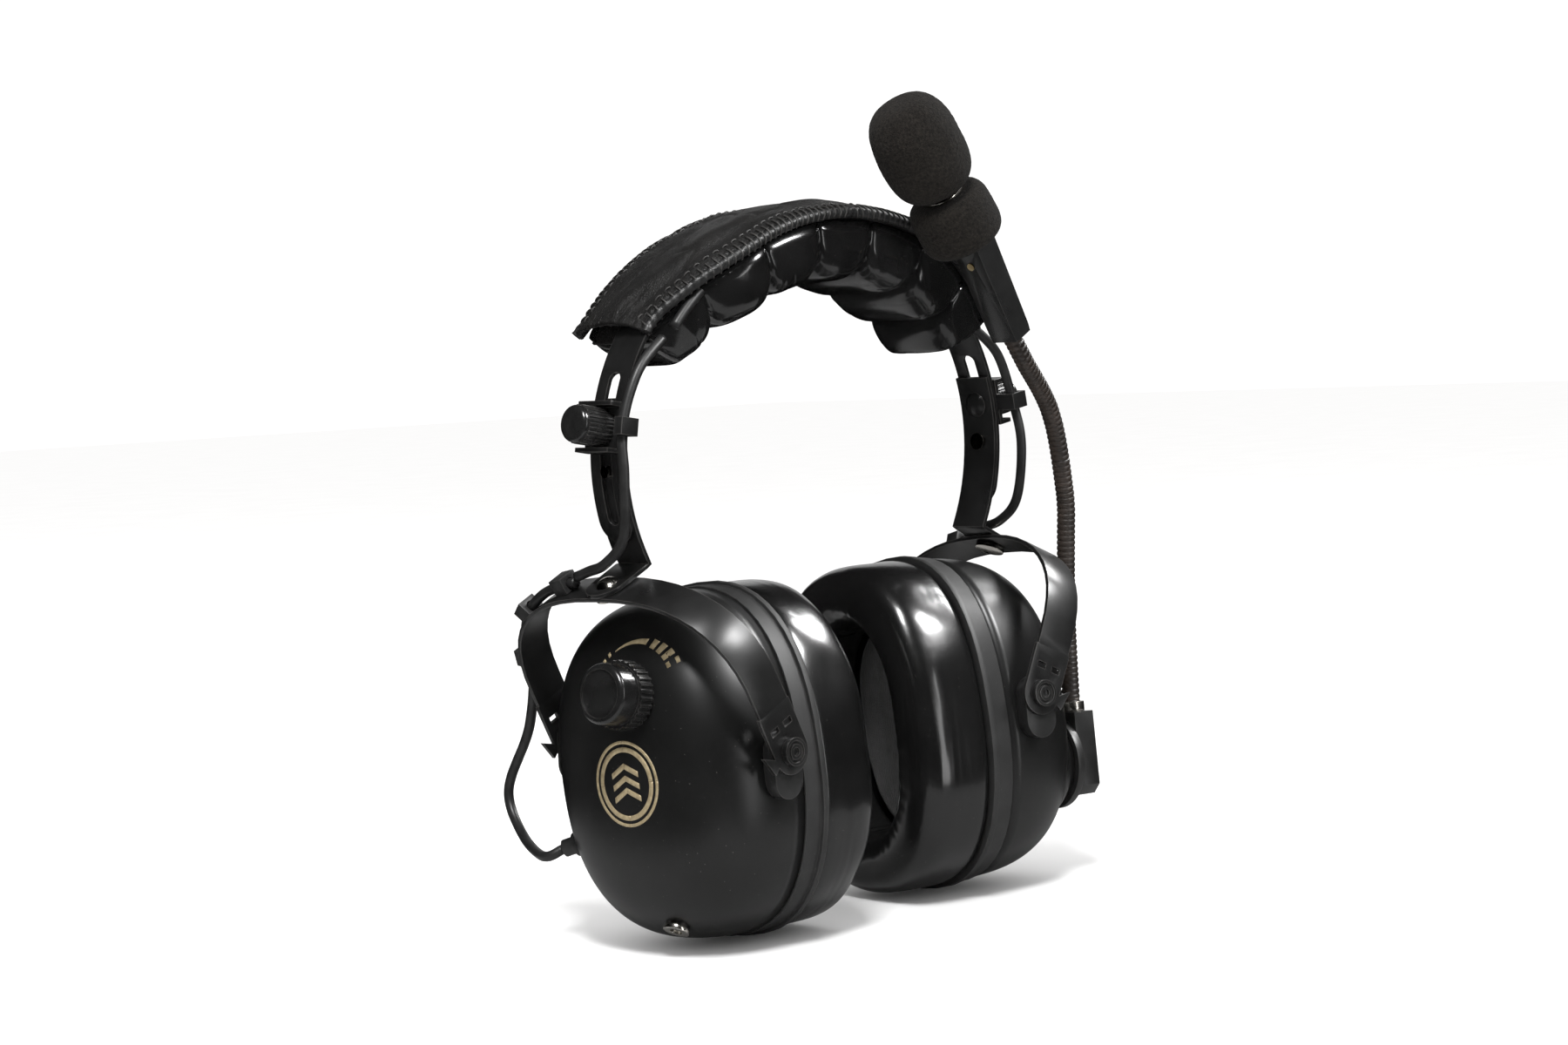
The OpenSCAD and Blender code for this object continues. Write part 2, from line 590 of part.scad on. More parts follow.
// Turns the canted oval frame back to upright, for the parts that hang on the boom
module upright() rotate([cant[LEFT], 0, 0]) children();
neck_x = 3.9;
neck_foot = turn_x([block_x + neck_x, -6, 10.2], cant[LEFT]) + [0, boom_y, boom_z];
neck_mouth = turn_x([block_x + neck_x, -6, 15.2], cant[LEFT]) + [0, boom_y, boom_z];
module boom_ferrule() {
    color(NICKEL) at_boom() upright() translate([block_x + neck_x, -6, 15 + slip]) difference() {
        cylinder(r = neck_r + 1.3, h = 3);
        translate([0, 0, -1]) cylinder(r = neck_r + 0.35, h = 6);
    }
}

// Gooseneck: middle line from the block to the microphone, in the row's frame
mic_at = [52.3, -37, 169.3];
bend_low = [84.6, -29, 117];
bend_high = [75, -32.6, 144.5];
neck_low = curve([from_oval(neck_foot, LEFT), from_oval(neck_mouth, LEFT), [87.2, -25.3, 84], bend_low], 8);
neck_mid = curve([[87, -27.4, 101], bend_low, bend_high, [57.6, -37, 162.3], [51.6, -37, 170.6]], 10);
module gooseneck_lower() {
    color(CABLE) cord([for (k = [0:len(neck_low) - 2]) neck_low[k]], neck_r, [0, 1, 0], 14);
}
module gooseneck_middle() {
    color(CABLE) cord([for (k = [10:19]) neck_mid[k]], neck_r, [0, 1, 0], 14);
}
module gooseneck_upper() {
    color(CABLE) cord([for (k = [20:40]) neck_mid[k]], neck_r, [0, 1, 0], 14);
}

// Microphone: a tapered housing, then the capsule and its two foam muffs on a bent axis
mic_lean = -29;
muff_lean = -35.5;
muff_from = [28.97, -37, 205.16];
collar_half = 8.4;                                     // half the lower muff's length
collar_top = 8.1;
cap_from = 9.3;
capsule_r = 4.6;
module at_mic() translate(mic_at) rotate([0, mic_lean, 0]) children();
module at_muffs() translate(muff_from) rotate([0, muff_lean, 0]) children();
module housing_shape(grow = 0) {
    translate([0, 4.4 + grow, 0]) rotate([90, 0, 0]) linear_extrude(9.4 + 2 * grow)
        polygon([[-3.5 - grow, 0.3], [3.5 + grow, 0.3], [3.9 + grow, 2.6], [4.4 + grow, 33 + grow],
            [-4.8 - grow, 35 + grow], [-3.9 - grow, 2.6]]);
}
module mic_housing() {
    color(GLOSS) at_mic() difference() {
        housing_shape();
        translate([0, 0, -1]) cylinder(r = neck_r + 0.35, h = 3.2);
        translate([-6, 0, 27]) outward() translate([0, 0, -2]) cylinder(r = 1.3, h = 4.6);
    }
}
module mic_screw() {
    color(BRASS) at_mic() translate([-6, 0, 27]) outward() translate([0, 0, 1.1]) cylinder(r = 1.2, h = 1.3);
}
module mic_capsule() {
    color(NICKEL) at_muffs() union() {
        translate([0, 0, -5]) cylinder(r = capsule_r, h = 25);
        translate([0, 0, collar_top + 0.2]) cylinder(r = 6.2, h = 0.8);
    }
}
module lower_muff() {
    color(FOAM) difference() {
        at_muffs() translate([0, 0, collar_top - collar_half]) rotate_extrude() polygon(concat(
            [[0, -collar_half]],
            [for (a = [-80:10:80]) [muff_r * 0.96 * power(cos(a), 0.2), collar_half * power(sin(a), 0.5)]],
            [[0, collar_half]]));
        at_muffs() translate([0, 0, -5 - 2 * slip]) cylinder(r = capsule_r + 2 * slip, h = 20);
        at_mic() housing_shape(0.2);
    }
}
module upper_muff() {
    color(FOAM) at_muffs() difference() {
        translate([0, 0, cap_from + muff_len / 2]) rotate_extrude() polygon([for (a = [-90:10:90])
            [muff_r * power(cos(a), 0.56) * (1 - 0.04 * sin(a)), muff_len / 2 * power(sin(a), 0.76)]]);
        cylinder(r = capsule_r + 2 * slip, h = 20 + 4 * slip);
    }
}

// ---------- cables ----------
// Upper cable: out of the pad, through the clamp's hook, over the foot to the yoke
module upper_cable(i) {
    color(CABLE) handed(i) cord(curve([[65.5, -9.5, 173.5], [76.4, -10.3, 164.5], [83, -10.2, 149.6],
        [84.6, -11.8, 136], [84, -9.6, 119], [84.3, -2, 111.6], [83.5, 6, 109.2], [83, 11.6, 107.6]], 5),
        cable_r);
}

// Lower cable: along the yoke's rear half, then a free loop down to the cup's grommet
cable_lift = band_t / 2 + slip + cable_r + 0.35;
function on_yoke(y, d, i) = let (a = yoke_fall(y))
    from_yoke([0, y + cable_lift * sin(a) + d * cos(a), yoke_height(y) + cable_lift * cos(a) - d * sin(a)], i);
function lower_run(i) = concat(
    [for (y = [12.4, 17, 27, 36, 41.5]) on_yoke(y, 0, i)],
    [for (d = [0, 3, 6]) on_yoke(clip_at[2], d, i)],
    [from_yoke([4, 56.8, -47], i), from_yoke([12, 67.6, -63.8], i), from_yoke([20, 59.5, -73.5], i)],
    [for (d = [13, 6.4]) from_oval(grommet_at + grommet_way * d, i)]);
module lower_cable(i) {
    color(CABLE) handed(i) cord(curve(lower_run(i), 4), cable_r);
}

band_crown();
head_pad_cover();
head_pad_cushion();
crown_cable();
band_arm(RIGHT);  // right_band_arm
band_arm(LEFT);  // left_band_arm
hanger_strip(RIGHT);  // right_hanger_strip
hanger_strip(LEFT);  // left_hanger_strip
clamp_bracket(RIGHT);  // right_clamp_bracket
clamp_bracket(LEFT);  // left_clamp_bracket
clamp_bolt(RIGHT);  // right_clamp_bolt
clamp_bolt(LEFT);  // left_clamp_bolt
stop_pin(RIGHT);  // right_stop_pin
stop_pin(LEFT);  // left_stop_pin
swivel_rivet(RIGHT);  // right_swivel_rivet
swivel_rivet(LEFT);  // left_swivel_rivet
upper_cable(RIGHT);  // right_upper_cable
upper_cable(LEFT);  // left_upper_cable
clamp_knob(RIGHT);  // right_clamp_knob
clamp_knob(LEFT);  // left_clamp_knob
yoke_strap(RIGHT);  // right_yoke_strap
yoke_strap(LEFT);  // left_yoke_strap
cable_clips(RIGHT);  // right_cable_clips
cable_clips(LEFT);  // left_cable_clips
lower_cable(RIGHT);  // right_lower_cable
lower_cable(LEFT);  // left_lower_cable
cup_shell(RIGHT);  // right_cup_shell
cup_shell(LEFT);  // left_cup_shell
cup_flange(RIGHT);  // right_cup_flange
cup_flange(LEFT);  // left_cup_flange
ear_seal(RIGHT);  // right_ear_seal
ear_seal(LEFT);  // left_ear_seal
ear_foam(RIGHT);  // right_ear_foam
ear_foam(LEFT);  // left_ear_foam
speaker_plate(RIGHT);  // right_speaker_plate
speaker_plate(LEFT);  // left_speaker_plate
speaker(RIGHT);  // right_speaker
speaker(LEFT);  // left_speaker
dome_foam(RIGHT);  // right_dome_foam
dome_foam(LEFT);  // left_dome_foam
pivot_mounts(RIGHT);  // right_pivot_mounts
pivot_mounts(LEFT);  // left_pivot_mounts
pivot_screws(RIGHT);  // right_pivot_screws
pivot_screws(LEFT);  // left_pivot_screws
cable_grommet(RIGHT);  // right_cable_grommet
cable_grommet(LEFT);  // left_cable_grommet
volume_control();
volume_knob();
audio_jack();
boom_pivot();
boom_block();
boom_ferrule();
gooseneck_lower();
gooseneck_middle();
gooseneck_upper();
mic_housing();
mic_screw();
mic_capsule();
lower_muff();
upper_muff();
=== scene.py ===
"""Looks of the aviation headset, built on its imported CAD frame. Sizes in the helpers are in millimetres."""
import json
import math

import bmesh
import bpy
import numpy as np
from mathutils import Matrix, Vector, noise

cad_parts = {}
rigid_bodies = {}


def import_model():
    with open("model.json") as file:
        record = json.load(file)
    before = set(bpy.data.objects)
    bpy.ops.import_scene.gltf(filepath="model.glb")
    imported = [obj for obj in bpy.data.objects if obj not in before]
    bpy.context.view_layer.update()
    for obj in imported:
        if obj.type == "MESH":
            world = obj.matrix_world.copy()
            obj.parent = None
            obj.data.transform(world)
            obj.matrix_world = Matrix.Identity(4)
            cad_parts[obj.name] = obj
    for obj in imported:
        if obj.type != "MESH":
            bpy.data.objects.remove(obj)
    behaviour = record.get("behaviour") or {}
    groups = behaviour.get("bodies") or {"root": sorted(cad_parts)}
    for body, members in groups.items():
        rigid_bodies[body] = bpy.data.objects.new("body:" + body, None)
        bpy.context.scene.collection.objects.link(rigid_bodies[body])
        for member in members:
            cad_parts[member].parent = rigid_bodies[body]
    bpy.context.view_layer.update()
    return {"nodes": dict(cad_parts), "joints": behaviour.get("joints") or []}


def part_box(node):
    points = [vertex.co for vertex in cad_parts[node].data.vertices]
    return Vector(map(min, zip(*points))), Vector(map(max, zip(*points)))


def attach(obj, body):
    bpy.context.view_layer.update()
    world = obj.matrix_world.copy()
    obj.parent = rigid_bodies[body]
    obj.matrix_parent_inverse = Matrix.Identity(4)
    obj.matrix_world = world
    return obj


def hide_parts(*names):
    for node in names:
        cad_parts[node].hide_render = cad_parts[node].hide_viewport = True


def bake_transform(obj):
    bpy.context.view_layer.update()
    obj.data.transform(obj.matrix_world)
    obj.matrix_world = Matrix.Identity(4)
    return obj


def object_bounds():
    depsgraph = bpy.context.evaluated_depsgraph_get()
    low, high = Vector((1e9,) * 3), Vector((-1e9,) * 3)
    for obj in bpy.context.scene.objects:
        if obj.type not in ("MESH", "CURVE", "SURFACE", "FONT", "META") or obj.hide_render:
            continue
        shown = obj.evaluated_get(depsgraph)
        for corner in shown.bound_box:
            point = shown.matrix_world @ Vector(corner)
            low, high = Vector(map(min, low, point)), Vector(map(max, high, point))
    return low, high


for thing in list(bpy.data.objects):
    bpy.data.objects.remove(thing)
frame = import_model()
JOINTS = {j["name"]: j for j in frame["joints"]}
SIDES = ("right", "left")
SIGNS = (("right", -1), ("left", 1))

# Sizes shared with the CAD part
CROWN_R, CROWN_CZ = 89.0, 118.0
SIDE_R, SIDE_X, SIDE_Z, JOIN_ANGLE = 60.0, 20.0, 139.0, 43.6
PAD_END, PAD_HALF, LOBES = 54.0, 21.0, 7
COVER_END, PILLOW_END = 52.4, PAD_END - 0.8
HALF_W, HALF_H, OVAL = 39.0, 51.0, 2.4
DOME_D, DOME_POWER, FLANGE_D = 43.0, 3.3, 7.0
SEAL_RING = 19.0
CANT = {"right": 7.0, "left": 5.0}
CUP_FROM_PIVOT = (-16.7, -2.0, -6.4)
BOOM_AT = (-9.0, -18.0)
BOOM_SEAT = 43.2
MUFF_R = 13.0
NECK_R = 2.8
CABLE_R = 1.5
MM = 0.001  # millimetres to metres


# ---------- shapes ----------
def limited(value):
    """The value kept between 0 and 1."""
    return min(1.0, max(0.0, value))


def power(x, p):
    return np.sign(x) * np.abs(x) ** p


def wave(x, y, z, size, shift=0.0):
    """Smooth noise between -1 and 1 whose bumps are about size mm across."""
    return noise.noise(Vector((x / size + shift, y / size - shift, z / size + 2 * shift)))


def add_mesh(name, points, faces, look, body=None, outside=True):
    mesh = bpy.data.meshes.new(name)
    mesh.from_pydata((np.asarray(points, float) * MM).tolist(), [], faces)
    if outside:
        work = bmesh.new()
        work.from_mesh(mesh)
        bmesh.ops.recalc_face_normals(work, faces=work.faces)
        work.to_mesh(mesh)
        work.free()
    mesh.shade_smooth()
    mesh.materials.append(look)
    obj = bpy.data.objects.new(name, mesh)
    bpy.context.scene.collection.objects.link(obj)
    if body:
        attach(obj, body)
    return obj


def skin(rings, closed_rows=False, caps=True):
    """Faces over a list of equal rings; closed_rows joins the last ring to the first."""
    rings = np.asarray(rings, float)
    m, n = rings.shape[:2]
    faces = []
    for j in range(m if closed_rows else m - 1):
        here, there = j * n, ((j + 1) % m) * n
        faces += [(here + k, here + (k + 1) % n, there + (k + 1) % n, there + k) for k in range(n)]
    if caps and not closed_rows:
        faces += [tuple(range(n))[::-1], tuple((m - 1) * n + k for k in range(n))]
    return rings.reshape(-1, 3), faces


def join(parts):
    """One list of points and faces out of several."""
    points, faces, first = [], [], 0
    for p, f in parts:
        points.append(np.asarray(p, float))
        faces += [tuple(first + k for k in face) for face in f]
        first += len(p)
    return np.vstack(points), faces


def smooth_path(points, step):
    """Even steps along a smooth curve through the points."""
    p = np.asarray(points, float)
    p = np.vstack([2 * p[0] - p[1], p, 2 * p[-1] - p[-2]])
    out = []
    for k in range(1, len(p) - 2):
        a, b, c, d = p[k - 1:k + 3]
        for t in np.linspace(0, 1, 10, endpoint=False):
            out.append(0.5 * (2 * b + (c - a) * t + (2 * a - 5 * b + 4 * c - d) * t * t
                              + (3 * b - a - 3 * c + d) * t ** 3))
    out = np.array(out + [p[-2]])
    along = np.concatenate([[0], np.cumsum(np.linalg.norm(np.diff(out, axis=0), axis=1))])
    at = np.linspace(0, along[-1], max(3, int(round(along[-1] / step)) + 1))
    return np.column_stack([np.interp(at, along, out[:, i]) for i in range(3)])


def tube(path, radius, sides=16):
    """Rings round a path; radius is one number, one a step, or one a step and side."""
    path = np.asarray(path, float)
    way = np.gradient(path, axis=0)
    way /= np.linalg.norm(way, axis=1)[:, None]
    u = np.cross(way[0], (0.3, 1, 0.2))
    radius = np.asarray(radius, float)
    if radius.ndim < 2:
        radius = np.broadcast_to(radius.reshape(-1, 1), (len(path), sides))
    angle = np.linspace(0, 2 * math.pi, sides, endpoint=False)
    rings = []
    for k, t in enumerate(way):
        u = u - t * np.dot(u, t)
        u /= np.linalg.norm(u)
        v = np.cross(t, u)
        rings.append(path[k] + radius[k][:, None] * (np.outer(np.cos(angle), u) + np.outer(np.sin(angle), v)))
    return np.array(rings)


def centre_line(node):
    """Middle line of a round CAD cord, from one flat end to the other."""
    mesh = frame["nodes"][node].data
    co = np.array([v.co for v in mesh.vertices]) * 1000
    keys, index, points = {}, [], []
    for p in co:
        key = tuple(np.round(p, 2))
        if key not in keys:
            keys[key] = len(points)
            points.append(p)
        index.append(keys[key])
    points = np.array(points)
    links = [set() for _ in points]
    faces = [([index[k] for k in poly.vertices], np.array(poly.normal)) for poly in mesh.polygons]
    around = {}
    for f, (v, _) in enumerate(faces):
        for a, b in zip(v, v[1:] + v[:1]):
            links[a].add(b)
            links[b].add(a)
            around.setdefault((min(a, b), max(a, b)), []).append(f)
    beside = [set() for _ in faces]
    for pair in around.values():
        for f in pair:
            beside[f].update(pair)
    ends, done = [], set()
    for f in range(len(faces)):
        if f in done:
            continue
        group, todo = {f}, [f]
        while todo:
            for g in beside[todo.pop()] - group:
                if np.dot(faces[g][1], faces[f][1]) > 0.9999:
                    group.add(g)
                    todo.append(g)
        done |= group
        rim = {v for g in group for v in faces[g][0]}
        reach = np.linalg.norm(points[list(rim)] - points[list(rim)].mean(0), axis=1)
        if len(rim) >= 10 and reach.max() - reach.min() < 0.05:
            ends.append(rim)
    layer = ends[0]
    seen, line = set(), []
    while layer:
        line.append(points[list(layer)].mean(0))
        seen |= layer
        layer = {b for a in layer for b in links[a]} - seen
    return np.array(line)


def cup_frame(side):
    """Matrix from a cup's own axes (outwards, back, up; from the middle of its lip) to the row frame."""
    joint = JOINTS[side + "_tilt"]
    axis = Vector(joint["axis"])
    axis = axis if axis.y > 0 else -axis
    out = Vector((axis.y, -axis.x, 0)).normalized()
    if side == "right":
        out = -out
    up = out.cross(axis)
    up = up if up.z > 0 else -up
    place = Matrix.Translation(Vector(joint["pos_m"]) * 1000) @ Matrix((out, axis, up)).transposed().to_4x4()
    return place @ Matrix.Translation(CUP_FROM_PIVOT) @ Matrix.Rotation(math.radians(-CANT[side]), 4, "X")


CUP = {side: cup_frame(side) for side in SIDES}


def placed(matrix, points):
    points = np.asarray(points, float)
    m = np.array(matrix)
    return points @ m[:3, :3].T + m[:3, 3]


def oval_ring(x, inset, count, half=(HALF_W, HALF_H)):
    t = np.linspace(0, 2 * math.pi, count, endpoint=False)
    return np.column_stack([np.full(count, x), (half[0] - inset) * power(np.cos(t), 2 / OVAL),
                            (half[1] - inset) * power(np.sin(t), 2 / OVAL)])


def dome_x(y, z, lift=0.0):
    """How far the dome's outer face stands out at a place on the cup."""
    rho = (abs(y / (HALF_W - 1)) ** OVAL + abs(z / (HALF_H - 1)) ** OVAL) ** (1 / OVAL)
    return DOME_D * max(0.0, 1 - rho ** DOME_POWER) ** (1 / DOME_POWER) + lift


def band_point(a, y, lift):
    """Point of the headband at angle a from vertical, y to the back, lift outside its middle line."""
    s, c = math.sin(math.radians(abs(a))), math.cos(math.radians(a))
    if abs(a) <= JOIN_ANGLE:
        return math.copysign((CROWN_R + lift) * s, a), y, CROWN_CZ + (CROWN_R + lift) * c
    return math.copysign(SIDE_X + (SIDE_R + lift) * s, a), y, SIDE_Z + (SIDE_R + lift) * c


def pad_edges(a):
    """Front and rear edge of the pad at angle a; its front narrows towards the ends, most on the right."""
    t = limited((abs(a) - 25) / 28)
    t = t * t * (3 - 2 * t)
    return -PAD_HALF + (15.5 if a < 0 else 6.0) * t, PAD_HALF - (0.0 if a < 0 else 4.0) * t


def band_length(a):
    """Length along the band from its top to angle a."""
    return math.radians(min(a, JOIN_ANGLE)) * CROWN_R + math.radians(max(0, a - JOIN_ANGLE)) * SIDE_R


# ---------- materials ----------
def surface(name, dark, light, rough, spread, bumps=(), metal=0.0, coat=0.0, sheen=0.0, tone=4.0, wear=0.0,
            dust=0.0, specular=0.5, worn=(0.2, 0.19, 0.18)):
    """Procedural finish whose colour and roughness vary in patches, with worn edges and specks of dust.

    Each bump is (kind, cells a mm, height in mm, strength).
    """
    look = bpy.data.materials.new(name)
    look.use_nodes = True
    tree = look.node_tree
    tree.nodes.clear()

    def node(kind, **values):
        made = tree.nodes.new(kind)
        for key, value in values.items():
            setattr(made, key, value)
        return made

    def link(a, b):
        tree.links.new(a, b)

    out = node("ShaderNodeOutputMaterial")
    base = node("ShaderNodeBsdfPrincipled")
    link(base.outputs["BSDF"], out.inputs["Surface"])
    place = node("ShaderNodeTexCoord")
    scale = node("ShaderNodeMapping")
    scale.inputs["Scale"].default_value = (1000, 1000, 1000)
    link(place.outputs["Object"], scale.inputs["Vector"])
    patches = node("ShaderNodeTexNoise")
    patches.inputs["Scale"].default_value = 1 / tone
    patches.inputs["Detail"].default_value = 6
    link(scale.outputs["Vector"], patches.inputs["Vector"])
    ramp = node("ShaderNodeValToRGB")
    ramp.color_ramp.elements[0].position = 0.3
    ramp.color_ramp.elements[0].color = (*dark, 1)
    ramp.color_ramp.elements[1].position = 0.7
    ramp.color_ramp.elements[1].color = (*light, 1)
    link(patches.outputs["Fac"], ramp.inputs["Fac"])
    colour = ramp.outputs["Color"]
    smudge = node("ShaderNodeTexNoise")
    smudge.inputs["Scale"].default_value = 0.35 / tone
    smudge.inputs["Detail"].default_value = 3
    link(scale.outputs["Vector"], smudge.inputs["Vector"])
    gloss = node("ShaderNodeMapRange")
    gloss.inputs["From Min"].default_value = 0.3
    gloss.inputs["From Max"].default_value = 0.7
    gloss.inputs["To Min"].default_value = rough - spread
    gloss.inputs["To Max"].default_value = rough + spread
    link(smudge.outputs["Fac"], gloss.inputs["Value"])
    roughness = gloss.outputs["Result"]
    if wear:
        edge = node("ShaderNodeBevel", samples=4)
        edge.inputs["Radius"].default_value = 0.0004
        plain = node("ShaderNodeNewGeometry")
        bend = node("ShaderNodeVectorMath", operation="DOT_PRODUCT")
        link(edge.outputs["Normal"], bend.inputs[0])
        link(plain.outputs["Normal"], bend.inputs[1])
        mask = node("ShaderNodeMapRange")
        mask.inputs["From Min"].default_value = 0.995
        mask.inputs["From Max"].default_value = 0.9
        mask.inputs["To Max"].default_value = wear
        link(bend.outputs["Value"], mask.inputs["Value"])
        rub = node("ShaderNodeMath", operation="MULTIPLY")
        link(mask.outputs["Result"], rub.inputs[0])
        link(patches.outputs["Fac"], rub.inputs[1])
        mix = node("ShaderNodeMix", data_type="RGBA")
        link(rub.outputs["Value"], mix.inputs["Factor"])
        link(colour, mix.inputs["A"])
        mix.inputs["B"].default_value = (*worn, 1)
        colour = mix.outputs["Result"]
    if dust:
        specks = node("ShaderNodeTexVoronoi")
        specks.inputs["Scale"].default_value = 0.45
        link(scale.outputs["Vector"], specks.inputs["Vector"])
        small = node("ShaderNodeMapRange")
        small.inputs["From Min"].default_value = 0.075
        small.inputs["From Max"].default_value = 0.03
        small.inputs["To Max"].default_value = dust
        link(specks.outputs["Distance"], small.inputs["Value"])
        mix = node("ShaderNodeMix", data_type="RGBA")
        link(small.outputs["Result"], mix.inputs["Factor"])
        link(colour, mix.inputs["A"])
        mix.inputs["B"].default_value = (0.25, 0.24, 0.22, 1)
        colour = mix.outputs["Result"]
    last = None
    for kind, cells, height, strength in bumps:
        if kind == "cells":
            pattern = node("ShaderNodeTexVoronoi", feature="DISTANCE_TO_EDGE")
            pattern.inputs["Scale"].default_value = cells
            shape = node("ShaderNodeMapRange")
            shape.inputs["From Max"].default_value = 0.18
            link(pattern.outputs["Distance"], shape.inputs["Value"])
            value = shape.outputs["Result"]
        elif kind == "pores":
            pattern = node("ShaderNodeTexVoronoi")
            pattern.inputs["Scale"].default_value = cells
            value = pattern.outputs["Distance"]
        else:
            pattern = node("ShaderNodeTexNoise")
            pattern.inputs["Scale"].default_value = cells
            pattern.inputs["Detail"].default_value = 5
            value = pattern.outputs["Fac"]
        source = scale.outputs["Vector"]
        if kind == "brushed":
            stretch = node("ShaderNodeMapping")
            stretch.inputs["Scale"].default_value = (1, 1, 14)
            link(source, stretch.inputs["Vector"])
            source = stretch.outputs["Vector"]
        link(source, pattern.inputs["Vector"])
        bump = node("ShaderNodeBump")
        bump.inputs["Strength"].default_value = strength
        bump.inputs["Distance"].default_value = height * MM
        link(value, bump.inputs["Height"])
        if last:
            link(last.outputs["Normal"], bump.inputs["Normal"])
        last = bump
    if last:
        link(last.outputs["Normal"], base.inputs["Normal"])
    link(colour, base.inputs["Base Color"])
    link(roughness, base.inputs["Roughness"])
    base.inputs["Metallic"].default_value = metal
    base.inputs["Specular IOR Level"].default_value = specular
    base.inputs["Coat Weight"].default_value = coat
    base.inputs["Coat Roughness"].default_value = 0.12
    base.inputs["Sheen Weight"].default_value = sheen
    base.inputs["Sheen Roughness"].default_value = 0.6
    return look


def grey(v, warm=0.0):
    return v * (1 + warm), v, v * (1 - warm)


LOOKS = {
    "black_enamel": surface("black_enamel", grey(0.006), grey(0.011), 0.33, 0.06,
                            [("grain", 2.5, 0.02, 0.25), ("grain", 9, 0.006, 0.3)], wear=0.5, tone=9),
    "leatherette": surface("leatherette", grey(0.0035, 0.06), grey(0.008, 0.07), 0.46, 0.07,
                           [("grain", 0.12, 0.8, 0.25), ("cells", 1.5, 0.09, 0.75), ("grain", 5, 0.03, 0.4)],
                           sheen=0.02, tone=7, wear=0.2, worn=(0.03, 0.028, 0.026), specular=0.28),
    "pad_vinyl": surface("pad_vinyl", grey(0.005), grey(0.009), 0.17, 0.05,
                         [("grain", 0.35, 0.25, 0.18), ("cells", 1.9, 0.015, 0.12)],
                         coat=0.35, tone=12, dust=0.25),
    "seal_vinyl": surface("seal_vinyl", grey(0.004), grey(0.007), 0.22, 0.05,
                          [("grain", 0.16, 0.3, 0.15), ("cells", 2.2, 0.012, 0.12)],
                          coat=0.3, tone=14, dust=0.2),
    "cable_rubber": surface("cable_rubber", grey(0.009), grey(0.017), 0.42, 0.07,
                            [("grain", 1.1, 0.05, 0.25), ("grain", 6, 0.01, 0.4)], tone=5),
    "nickel": surface("nickel", (0.60, 0.57, 0.52), (0.82, 0.79, 0.73), 0.2, 0.07,
                      [("brushed", 2.0, 0.006, 0.4)], metal=1.0, tone=2.5, wear=0.3, worn=(0.9, 0.88, 0.84)),
    "knob_plastic": surface("knob_plastic", grey(0.006), grey(0.011), 0.24, 0.06,
                            [("grain", 3.5, 0.012, 0.25)], coat=0.25, tone=5, wear=0.22, dust=0.2),
    "clip_plastic": surface("clip_plastic", grey(0.010), grey(0.018), 0.5, 0.06,
                            [("grain", 5, 0.02, 0.5)], tone=5, wear=0.25),
    "gloss_shell": surface("gloss_shell", grey(0.0045), grey(0.008), 0.35, 0.04,
                           [("grain", 0.25, 0.05, 0.1), ("grain", 4, 0.004, 0.25)], tone=22, dust=0.3),
    "flange_plastic": surface("flange_plastic", grey(0.010), grey(0.017), 0.52, 0.05,
                              [("pores", 4.5, 0.02, 0.4)], tone=8, wear=0.2, dust=0.2),
    "mount_plastic": surface("mount_plastic", grey(0.008), grey(0.014), 0.4, 0.06,
                             [("grain", 4, 0.02, 0.4)], tone=6, wear=0.25, dust=0.15),
    "foam": surface("foam", grey(0.012), grey(0.03), 0.95, 0.03,
                    [("pores", 1.6, 0.25, 0.8), ("grain", 4, 0.1, 0.6)], sheen=0.2, tone=1.5, specular=0.15),
    "speaker_metal": surface("speaker_metal", grey(0.35), grey(0.55), 0.35, 0.08,
                             [("brushed", 2, 0.01, 0.4)], metal=1.0, tone=3),
    "grommet_rubber": surface("grommet_rubber", grey(0.010), grey(0.018), 0.5, 0.06,
                              [("grain", 5, 0.02, 0.5)], tone=4),
    "gooseneck_sleeve": surface("gooseneck_sleeve", (0.016, 0.0125, 0.0105), (0.034, 0.025, 0.020), 0.36,
                                0.06, [("grain", 3, 0.03, 0.3)], tone=6, wear=0.1),
    "mic_plastic": surface("mic_plastic", grey(0.006), grey(0.012), 0.3, 0.06,
                           [("grain", 4, 0.012, 0.3)], coat=0.15, tone=8, wear=0.25, dust=0.2),
    "brass": surface("brass", (0.50, 0.37, 0.18), (0.72, 0.58, 0.33), 0.3, 0.07,
                     [("brushed", 3, 0.006, 0.4)], metal=1.0, tone=1.5),
    "muff_foam": surface("muff_foam", (0.0045, 0.004, 0.0035), (0.015, 0.013, 0.011), 0.97, 0.02,
                         [("pores", 2.3, 0.22, 0.85), ("grain", 5, 0.12, 0.7)], sheen=0.02, tone=0.8,
                         specular=0.08),
}
THREAD = surface("thread", grey(0.012, 0.04), grey(0.035, 0.06), 0.55, 0.05,
                 [("brushed", 4, 0.04, 0.6)], tone=1)
BINDING = surface("binding", grey(0.008), grey(0.016), 0.36, 0.06,
                  [("cells", 1.6, 0.05, 0.5), ("grain", 4, 0.03, 0.4)],
                  tone=4, wear=0.3, worn=(0.08, 0.075, 0.07))
PRINT = surface("print", (0.27, 0.21, 0.12), (0.40, 0.33, 0.20), 0.45, 0.06, [("grain", 4, 0.01, 0.4)],
                metal=0.35, tone=1.2)
MESH_CLOTH = surface("mesh_cloth", grey(0.008), grey(0.02), 0.85, 0.05,
                     [("cells", 1.3, 0.12, 0.8), ("grain", 5, 0.05, 0.5)], sheen=0.2, tone=3)


